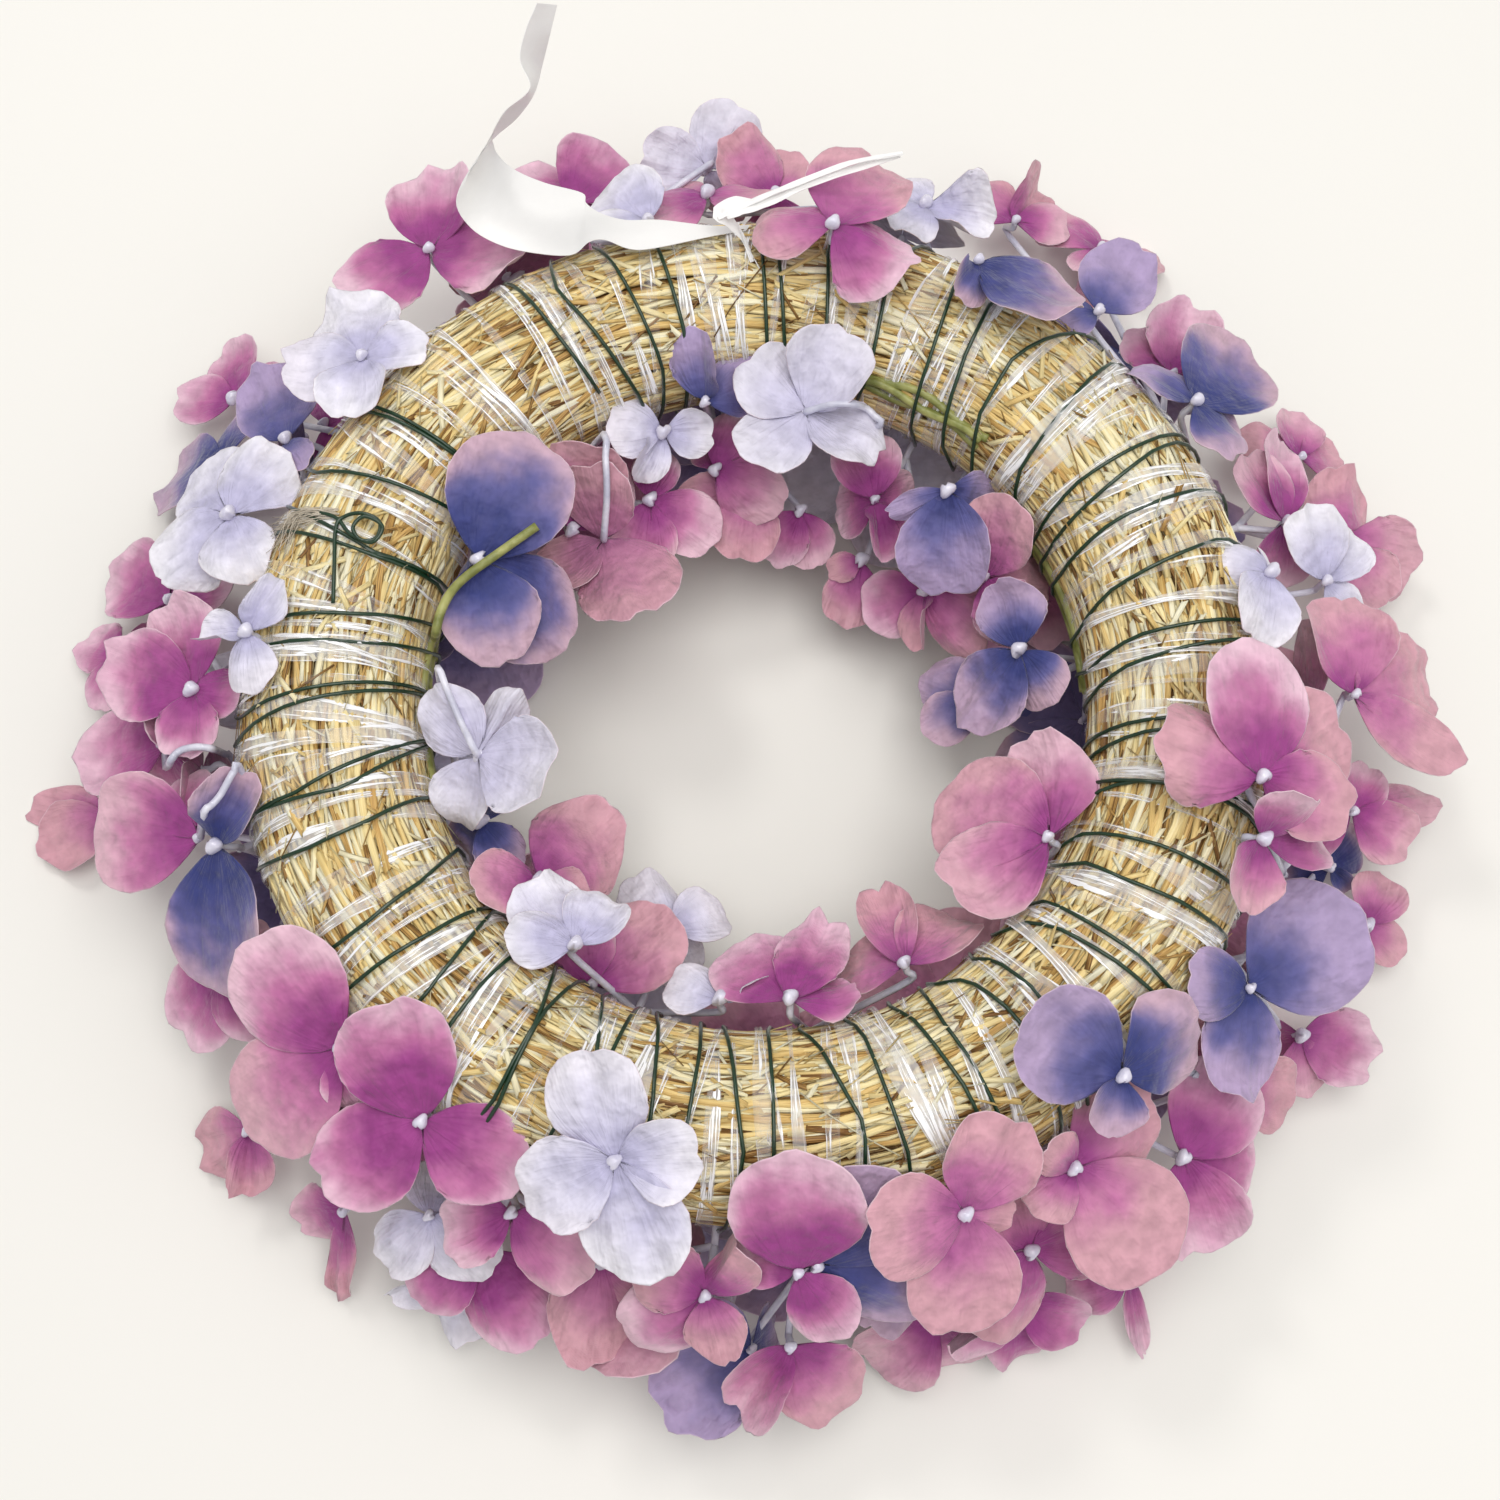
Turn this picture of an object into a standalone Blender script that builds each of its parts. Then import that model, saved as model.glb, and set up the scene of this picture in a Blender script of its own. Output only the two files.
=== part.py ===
"""Hydrangea wreath on a straw ring, lying face down as it does in the picture.

A ring of pressed straw is wound with clear film by its maker. Sprays of fabric
hydrangea florets are held against its front and sides by green wire, over their
stems, and a paper label is wrapped over the far side.

Lengths below are in millimetres, and solid() scales them to metres. The ring's
centre is at X = Y = 0 while the model is made, and +Z points up, to the
wreath's back.
"""
import math
import random

import bpy
from mathutils import Matrix, Vector
from mathutils.bvhtree import BVHTree

MM = 0.001
CLEAR = 0.35                # gap that touching pieces keep

# Straw ring: a bought base, 25 cm across outside
RING_OUTER = 125.0
TUBE = 21.3                 # radius of the straw tube
RING_MIDDLE = RING_OUTER - TUBE
RING_HEIGHT = 49.0          # of the tube's middle above the table
RING_STATIONS = 36          # round the ring
RING_RIDGES = 14            # round the tube
GROOVE = 1.5                # deepest groove between straw bundles

# Florist's wire, wound over the stems
WIRE_TURNS = 33
WIRE_RADIUS = 0.6
WIRE_LIFT = 1.75            # wire's middle above the straw, where it lies tight on it
FRONT_LIFT = 2.8            # in front, where its straight runs between bends are longer
FACE_LIFT = 5.3             # on the face, where the film crosses under it
WIRE_START = 163.0          # degrees round the ring, where its end is twisted

# Clear film, wound under the wire by the ring's maker
FILM_TURNS = 11
FILM_WIDTH = 4.0
FILM_THICK = 0.6
FILM_LIFT = 1.75            # its middle above the straw at its bends, so that it clears it between them

# Paper label strip
LABEL_THICK = 0.7

# Florets
BLADE = 1.0                 # petal thickness at its middle
LONG_PETAL = 30.0
BUD_RADIUS = 2.3
BUD_HEIGHT = 2.8
BUD_DEPTH = 1.8
NEAREST_PETALS = 68         # degrees between two petals of one closed floret
STEM_BEND = 6.0             # how far off a floret's back its stem bends
STALK = 8.0                 # from the straw to where a spray's stems part
GOOD_COST = 5               # a floret whose petals are bent no more than this is taken as it is
SEATS_TRIED = 12
FOOT_GAP = 0.45             # from the straw to a stalk's end, whose corners come nearer
STEM_RADIUS = 1.1
STALK_RADIUS = 1.5
GREEN_RADIUS = 1.3
GREEN_LIFT = FILM_LIFT + FILM_THICK / 2 + CLEAR + GREEN_RADIUS + 0.3
OVER_GREEN = GREEN_LIFT + GREEN_RADIUS + CLEAR + WIRE_RADIUS + 0.3
GREEN_STEMS = [  # name, place round the tube, from and to in degrees round the ring
    ("green_stem_left", 195, 158, 196), ("green_stem_far", 150, 48, 76),
    ("green_stem_right", 195, 2, 44), ("green_stem_near", 285, 230, 300)]

# The eye that saw the wreath in the picture, whose frame is 1500 x 1500
FRAME_MIDDLE = 750
FOCAL_PIXELS = 2054.0
EYE_DISTANCE = 500.0
EYE_ELEVATION = math.radians(75.3)
EYE_TARGET = Vector((-1.7, -12.75, RING_HEIGHT))
EYE_FORWARD = Vector((0, math.cos(EYE_ELEVATION), -math.sin(EYE_ELEVATION)))
EYE_UP = Vector((0, math.sin(EYE_ELEVATION), math.cos(EYE_ELEVATION)))
EYE_RIGHT = Vector((1, 0, 0))
EYE = EYE_TARGET - EYE_FORWARD * EYE_DISTANCE

COLOURS = {
    "straw": (0.66, 0.47, 0.20, 1),
    "wire": (0.01, 0.07, 0.02, 1),
    "film": (0.86, 0.86, 0.84, 1),
    "paper": (0.86, 0.86, 0.84, 1),
    "green": (0.33, 0.38, 0.09, 1),
    "mauve": (0.55, 0.20, 0.42, 1),
    "blue": (0.14, 0.14, 0.45, 1),
    "lilac": (0.75, 0.73, 0.86, 1),
}
ROUGHNESS = {"wire": 0.4, "film": 0.2, "green": 0.45}


def sight_line(column, row):
    """Direction from the eye through a place in the picture."""
    across = (column - FRAME_MIDDLE) / FOCAL_PIXELS
    up = (FRAME_MIDDLE - row) / FOCAL_PIXELS
    return (EYE_FORWARD + EYE_RIGHT * across + EYE_UP * up).normalized()


def seen_at(column, row, height):
    """The point at this height that the picture shows at this place."""
    line = sight_line(column, row)
    return EYE + line * ((height - EYE.z) / line.z)


def noise(*key):
    """A fixed draw between 0 and 1 for a key."""
    return random.Random("-".join(str(k) for k in key)).random()


def tube_point(around, section, lift=0.0):
    """A point over the straw: degrees round the ring, degrees round the tube.

    Section 0 faces away from the hole, 90 up, 180 into the hole, 270 down.
    """
    a, s = math.radians(around), math.radians(section)
    reach = RING_MIDDLE + (TUBE + lift) * math.cos(s)
    height = RING_HEIGHT + (TUBE + lift) * math.sin(s)
    return Vector((reach * math.cos(a), reach * math.sin(a), height))


def material(name, colour):
    found = bpy.data.materials.get(name)
    if found:
        return found
    made = bpy.data.materials.new(name)
    made.use_nodes = True
    shader = made.node_tree.nodes["Principled BSDF"]
    shader.inputs["Base Color"].default_value = COLOURS[colour]
    shader.inputs["Roughness"].default_value = ROUGHNESS.get(colour, 0.7)
    shader.inputs["Metallic"].default_value = 0.0
    made.diffuse_color = COLOURS[colour]
    return made


def solid(name, points, faces, colour):
    """A named object from points in millimetres, with its own material."""
    mesh = bpy.data.meshes.new(name)
    mesh.from_pydata([p * MM for p in points], [], faces)
    mesh.materials.append(material(name, colour))
    thing = bpy.data.objects.new(name, mesh)
    bpy.context.collection.objects.link(thing)
    return thing


def skin_of(thing):
    """Points in millimetres and faces of an object's evaluated mesh."""
    mesh = thing.data
    return [v.co / MM for v in mesh.vertices], [tuple(p.vertices) for p in mesh.polygons]


def facing_out(points, faces):
    """The same closed shape with its faces turned to point out of it."""
    volume = sum(points[a].dot(points[b].cross(points[c])) for a, b, c in faces)
    if volume < 0:
        faces = [face[::-1] for face in faces]
    return points, faces


def loft(sections, closed=False):
    """A closed shape that joins equal sections of points, along a path or round a ring."""
    count = len(sections[0])
    points = [p for section in sections for p in section]
    faces = []
    steps = len(sections) if closed else len(sections) - 1
    for i in range(steps):
        here, there = i * count, (i + 1) % len(sections) * count
        for j in range(count):
            k = (j + 1) % count
            faces.append((here + j, here + k, there + k))
            faces.append((here + j, there + k, there + j))
    if not closed:
        last = (len(sections) - 1) * count
        for j in range(1, count - 1):
            faces.append((0, j + 1, j))
            faces.append((last, last + j, last + j + 1))
    return facing_out(points, faces)


def heading(path, i):
    """The direction of a path at its i-th point, halfway round any bend there."""
    into = (path[i] - path[i - 1]).normalized() if i else Vector()
    onward = (path[i + 1] - path[i]).normalized() if i + 1 < len(path) else Vector()
    return (into + onward).normalized()


def rod(path, radius, sides=3, outward=None):
    """A thin round rod along a path, as points and faces."""
    sections = []
    for i, point in enumerate(path):
        ahead = heading(path, i)
        guide = outward[i] if outward else Vector((0.31, 0.17, 0.94))
        side = (guide - ahead * guide.dot(ahead)).normalized()
        other = ahead.cross(side)
        ring = []
        for j in range(sides):
            turn = 2 * math.pi * (j + 0.5 * (sides % 2)) / sides
            ring.append(point + side * radius * math.cos(turn) + other * radius * math.sin(turn))
        sections.append(ring)
    return loft(sections)


def ribbon(path, across, outward, width, thick):
    """A flat strip along a path: across lies in the strip, outward points off it."""
    sections = []
    for i, point in enumerate(path):
        half = across[i] * (width[i] / 2)
        up = outward[i] * (thick / 2)
        sections.append([point - half - up, point + half - up, point + half + up, point - half + up])
    return loft(sections)


# Straw ring

def straw_ring():
    """The pressed straw: lengthwise bundles, with grooves only below the round tube."""
    sections = []
    for i in range(RING_STATIONS):
        around = 360 * i / RING_STATIONS
        section = []
        for j in range(RING_RIDGES):
            depth = GROOVE * noise("groove", j % 2, i, j) * (1.0 if j % 2 else 0.25)
            section.append(tube_point(around, -360 * j / RING_RIDGES, -depth))
        sections.append(section)
    return solid("straw_ring", *loft(sections, closed=True), "straw")


# Wire, film and green stems

def wire_around(turns):
    """Degrees round the ring that the wire has reached after so many turns."""
    return WIRE_START + 360 * turns / WIRE_TURNS


def wire_lift(around, section, lift):
    """The wire's height over the straw: more where a green stem lies under it."""
    for _, place, start, end in GREEN_STEMS:
        if place == section and start - 6 < around % 360 < end + 6:
            return OVER_GREEN
    return lift


def green_wire():
    """One wire wound round the ring, tight on the straw and over the green stems."""
    sections = [(90, WIRE_LIFT), (120, WIRE_LIFT), (150, WIRE_LIFT + 0.4), (195, FRONT_LIFT), (240, FRONT_LIFT),
                (285, FACE_LIFT), (330, FRONT_LIFT), (15, FRONT_LIFT), (55, WIRE_LIFT + 0.4)]
    path = []
    outward = []
    for turn in range(WIRE_TURNS - 1):
        for section, lift in sections:
            around = wire_around(turn + ((section - 90) % 360) / 360)
            path.append(tube_point(around, section, wire_lift(around, section, lift)))
            outward.append(path[-1] - tube_point(around, section, -TUBE))
    # The wire's two ends: one is bent back in a small loop, beside the first turn
    start = path[0]
    along = (tube_point(WIRE_START + 1, 90) - tube_point(WIRE_START, 90)).normalized()
    out = (tube_point(WIRE_START, 45) - tube_point(WIRE_START, 90))
    out.z = 0
    out.normalize()
    up = Vector((0, 0, 1))
    loop = []
    for k in range(7):
        turn = math.radians(-60 + 50 * k)
        loop.append(start - along * 3.4 + up * (1.6 + 0.45 * k)
                    + along * 3.0 * math.cos(turn) + out * 3.0 * math.sin(turn))
    tail = [start - along * 3 + out * 6 + up * 4.0, start + along * 6 + out * 7 + up * 0.6,
            start + along * 13 + out * 5.0 + up * 0.1]
    knot = tail[::-1] + loop[::-1]
    path = knot + path
    outward = [up] * len(knot) + outward
    return solid("green_wire", *rod(path, WIRE_RADIUS, 3, outward), "wire")


def clear_film():
    """One strip wound round the straw: between turns of wire, and across under two of them on the face."""
    gap = 360 / WIRE_TURNS
    sections = [-20, 10, 40, 70, 100, 130, 160, 195, 230, 265, 305]
    crossing = sections.index(305)
    step = round(WIRE_TURNS / FILM_TURNS)
    path, across, outward = [], [], []
    for turn in range(FILM_TURNS):
        first = wire_around(turn * step + 0.5 + (sections[0] - 90) / 360) % 360
        for k, section in enumerate(sections):
            around = first + gap * (section - sections[0]) / 360
            if k == crossing:
                around += gap * (step - 1)
            if turn == FILM_TURNS - 1 and k == crossing:
                break
            lift = FILM_LIFT + (0.5 if k in (crossing - 1, crossing) else 0)
            point = tube_point(around, section, lift)
            path.append(point)
            outward.append((point - tube_point(around, section, -TUBE)).normalized())
            across.append((tube_point(around + 1, section, lift) - point).normalized())
    return solid("clear_film", *ribbon(path, across, outward, [FILM_WIDTH] * len(path), FILM_THICK), "film")


def green_stem(name, section, start, end, tip=None):
    """A main stem laid along the ring under the wire; tip is where a cut end stands free."""
    steps = max(3, round((end - start) / 9))
    path = []
    for i in range(steps + 1):
        path.append(tube_point(start + (end - start) * i / steps, section, GREEN_LIFT))
    if tip:
        path.append(tip)
    outward = [Vector((0, 0, 1))] * len(path)
    return solid(name, *rod(path, GREEN_RADIUS, 4, outward), "green")


# Label and loose film end

def label_strip():
    """A blank paper label: a narrow tail over the ring's far side, a wide part that curls and stands up."""
    stops = [  # the strip's far edge and its near edge: column, row and height of each
        ((750, 225, 65.4), (746, 231, 66.2)), ((713, 226, 69.2), (713, 236, 71.4)),
        ((660, 220, 69.6), (655, 248, 75.4)), ((625, 220, 69.0), (630, 249, 75.0)),
        ((600, 213, 67.5), (605, 240, 74.5)), ((586, 203, 66.0), (589, 242, 74.0)),
        ((582, 193, 65.0), (571, 255, 73.0)), ((545, 183, 64.0), (534, 253, 70.0)),
        ((515, 170, 67.0), (500, 245, 69.0)), ((498, 155, 75.0), (471, 228, 71.0)),
        ((493, 143, 85.0), (456, 201, 76.0)), ((492, 137, 95.0), (472, 166, 81.0)),
        ((495, 128, 101.0), (494, 138, 85.0)), ((506, 110, 107.0), (516, 119, 92.0)),
        ((530, 88, 112.0), (534, 94, 96.0)), ((520, 60, 115.0), (543, 62, 104.0)),
        ((525, 32, 118.0), (550, 34, 111.0)), ((537, 3, 121.0), (557, 5, 115.0))]
    far = [seen_at(*stop[0]) for stop in stops]
    near = [seen_at(*stop[1]) for stop in stops]
    path = [(a + b) / 2 for a, b in zip(far, near)]
    across = [(b - a).normalized() for a, b in zip(far, near)]
    widths = [(b - a).length for a, b in zip(far, near)]
    outward = [heading(path, i).cross(across[i]).normalized() for i in range(len(path))]
    return solid("label_strip", *ribbon(path, across, outward, widths, LABEL_THICK), "paper")


def film_tail():
    """The film's loose end: tucked in at the ring and stuck out over the florets."""
    places = [(752, 262, 71.6), (744, 240, 72.8), (737, 220, 76.0), (760, 204, 79.0), (800, 187, 82.0),
              (850, 170, 84.0), (900, 155, 85.0)]
    width = [1.2, 1.2, 3.0, 5.5, 3.6, 3.4, 3.0]
    path = [seen_at(*place) for place in places]
    across, outward = [], []
    for i in range(len(path)):
        ahead = (path[min(i + 1, len(path) - 1)] - path[max(i - 1, 0)]).normalized()
        side = Vector((0, 0, 1)).cross(ahead).normalized()
        across.append(side)
        outward.append(ahead.cross(side).normalized())
    return solid("film_tail", *ribbon(path, across, outward, width, FILM_THICK), "film")


# Florets

def petal_point(frame, size, shape, along, side):
    """A point of a petal's sheet: along 0 to 1 from bud to tip, side -1 to 1 across it."""
    hub, forward, across, normal = frame
    lift, bend, fold = shape
    length, width = size
    angle = lift + bend * along / 2
    if along < 0.5:
        half = width / 2 * (along / 0.5)
    else:
        half = width / 2 * math.sqrt(max(0.0, 1 - ((along - 0.5) / 0.5) ** 2))
    offset = half * side
    rise = fold * offset * offset / width
    direction = forward * math.cos(angle) + normal * math.sin(angle)
    up = normal * math.cos(angle) - forward * math.sin(angle)
    return hub + direction * (length * along) + across * offset + up * rise


def rim_of(length):
    """Where a petal's rim has its corners, as (along, side): the longest petals have one at the tip too."""
    if length < LONG_PETAL:
        return [(0.5, -1), (0.92, -1), (0.92, 1), (0.5, 1)]
    return [(0.5, -1), (0.86, -1), (1.0, 0), (0.86, 1), (0.5, 1)]


def sheet_points(frame, size, shape, grow=0.0, table=0.0):
    """A petal's points: its middle's two sides, then its rim. It lies flat where it meets the table."""
    hub, forward, across, normal = frame
    rim = rim_of(size[0])
    size = (size[0] + grow, size[1] + 2 * grow)
    middle = petal_point(frame, size, shape, 0.55, 0)
    angle = shape[0] + shape[1] * 0.4
    up = normal * math.cos(angle) - forward * math.sin(angle)
    half = BLADE / 2 + grow
    points = [middle + up * half, middle - up * half]
    points += [petal_point(frame, size, shape, along, side) for along, side in rim]
    for point in points:
        point.z = max(point.z, table - grow)
    upper, lower = (0, 1) if points[0].z > points[1].z else (1, 0)
    points[upper].z = max(points[upper].z, table + BLADE + grow)
    return points


def blade(frame, size, shape, grow=0.0, table=0.0):
    """One petal as a closed blade, thickest in its middle, with its base in the bud."""
    points = sheet_points(frame, size, shape, grow, table) + [frame[0] - frame[1] * 0.8]
    edge = [len(points) - 1] + list(range(2, len(points) - 1))
    faces = []
    for k, here in enumerate(edge):
        there = edge[(k + 1) % len(edge)]
        faces.append((0, here, there))
        faces.append((1, there, here))
    return points, faces


def bud(hub, normal):
    """A box round the bud at a floret's middle, to test that it stands clear."""
    side = normal.orthogonal().normalized()
    other = normal.cross(side)
    points = [hub + normal * BUD_HEIGHT, hub - normal * BUD_DEPTH]
    for k in range(4):
        turn = math.radians(45 + 90 * k)
        points.append(hub + (side * math.cos(turn) + other * math.sin(turn)) * BUD_RADIUS)
    faces = []
    for k in range(4):
        faces.append((0, 2 + k, 2 + (k + 1) % 4))
        faces.append((1, 2 + (k + 1) % 4, 2 + k))
    return points, faces


def stem_path(hub, normal, joint):
    """A floret's stem: off its back, then bent towards the spray's joint."""
    bend = hub - normal * min(STEM_BEND, 0.4 * (joint - hub).length)
    bend.z = max(bend.z, STEM_RADIUS + 0.3)
    return [hub, bend, joint]


def crossing_faces(points, faces):
    """Pairs of faces of one shape that run through each other and share no corner."""
    tree = BVHTree.FromPolygons(points, faces)
    return [(a, b) for a, b in tree.overlap(tree) if a < b and not set(faces[a]) & set(faces[b])]


def stem_sections(hub, normal, side, joint):
    """The three-sided sections of a stem: off the floret's back, at its bend and at the joint."""
    path = stem_path(hub - normal * BUD_DEPTH, normal, joint)
    sections = []
    for i, point in enumerate(path):
        ahead = heading(path, i)
        near = (side - ahead * side.dot(ahead)).normalized()
        far = near.cross(ahead)
        turns = [2 * math.pi * j / 3 for j in range(3)]
        sections.append([point + (near * math.cos(t) + far * math.sin(t)) * STEM_RADIUS for t in turns])
    return sections


def grown_floret(hub, normal, side, other, petals, angles, joint, table):
    """One closed body of a bud, its petals in order round it and its stem.

    Returns its points, its faces and the petal that each face belongs to, or -1.
    """
    points, faces, owners = [hub + normal * BUD_HEIGHT], [], []

    def edge_point(angle):
        points.append(hub + (side * math.cos(angle) + other * math.sin(angle)) * BUD_RADIUS)
        return len(points) - 1, angle

    def add(owner, *new):
        faces.extend(new)
        owners.extend([owner] * len(new))

    full = 2 * math.pi
    gaps = [(angles[(k + 1) % len(petals)] - angle) % full or full for k, angle in enumerate(angles)]
    valleys = []
    for angle, gap in zip(angles, gaps):
        if gap < math.radians(130):
            valleys.append([edge_point(angle + gap / 2)])
        else:
            steps = max(2, round(gap / math.radians(80)))
            inner = gap - math.radians(84)
            valleys.append([edge_point(angle + math.radians(42) + inner * i / (steps - 1)) for i in range(steps)])
    # round the bud's foot, in order: each petal's underside middle, then the edge points after it
    link = []
    for k, (frame, size, shape) in enumerate(petals):
        half_gap = min(gaps[k], gaps[k - 1], math.pi / 2) / 2
        width = min(size[1], size[0] * math.tan(half_gap - 0.03) * math.cos(shape[0] + shape[1] / 4))
        top, bottom, rim = len(points), len(points) + 1, len(points) + 2
        points += sheet_points(frame, (size[0], width), shape, table=table)
        before, after = valleys[k - 1][-1][0], valleys[k][0][0]
        outline = [before] + list(range(rim, len(points))) + [after]
        for here, there in zip(outline, outline[1:]):
            add(k, (top, here, there), (bottom, there, here))
        add(k, (top, 0, before), (top, after, 0))
        for (here, _), (there, _) in zip(valleys[k], valleys[k][1:]):
            add(-1, (0, here, there))
        link.append((bottom, angles[k]))
        link += valleys[k]
    sections = []
    for section in stem_sections(hub, normal, side, joint):
        sections.append([len(points) + j for j in range(3)])
        points += section
    # stitch the ring of undersides to the stem's first triangle
    start = min(range(len(link)), key=lambda i: link[i][1] % full)
    link = [(v, a % full) for v, a in link[start:] + link[:start]]
    link.append((link[0][0], link[0][1] + full))
    corners = [(sections[0][j % 3], full * j / 3) for j in range(4)]
    i = j = 0
    while i < len(link) - 1 or j < 3:
        if j == 3 or (i < len(link) - 1 and link[i + 1][1] + link[i][1] < corners[j + 1][1] + corners[j][1]):
            add(-1, (corners[j][0], link[i + 1][0], link[i][0]))
            i += 1
        else:
            add(-1, (corners[j][0], corners[j + 1][0], link[i][0]))
            j += 1
    for lower, upper in zip(sections, sections[1:]):
        for j in range(3):
            k = (j + 1) % 3
            add(-1, (lower[k], lower[j], upper[j]), (lower[k], upper[j], upper[k]))
    add(-1, tuple(sections[-1][::-1]))
    for point in points:
        point.z = max(point.z, table)
    return points, faces, owners


def floret(hub, normal, petals, joint, table):
    """A bud with its petals and its stem growing out of it, as closed bodies to be fused.

    Petals are (frame, size, shape). One that stands too near the petal beside it, or that the
    floret's own stem passes through, is a blade of its own; the rest are one body.
    """
    side = normal.cross(joint - hub).normalized()
    other = normal.cross(side)

    def angle_of(petal):
        return math.atan2(petal[0][1].dot(other), petal[0][1].dot(side)) % (2 * math.pi)

    kept, apart = [], []
    for petal in petals:
        gaps = [abs((angle_of(petal) - angle_of(mate) + math.pi) % (2 * math.pi) - math.pi) for mate in kept]
        (apart if min(gaps, default=math.pi) < math.radians(NEAREST_PETALS) else kept).append(petal)
    kept.sort(key=angle_of)
    while kept:
        angles = [angle_of(petal) for petal in kept]
        points, faces, owners = grown_floret(hub, normal, side, other, kept, angles, joint, table)
        crossed = {max(owners[a], owners[b]) for a, b in crossing_faces(points, faces)} - {-1}
        if not crossed:
            return [facing_out(points, faces)] + [blade(*petal, table=table + 0.15) for petal in apart]
        apart.append(kept.pop(max(crossed)))
    stem = rod(stem_path(hub, normal, joint), STEM_RADIUS)
    return [bud(hub, normal), stem] + [blade(*petal, table=table + 0.15) for petal in apart]


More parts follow.
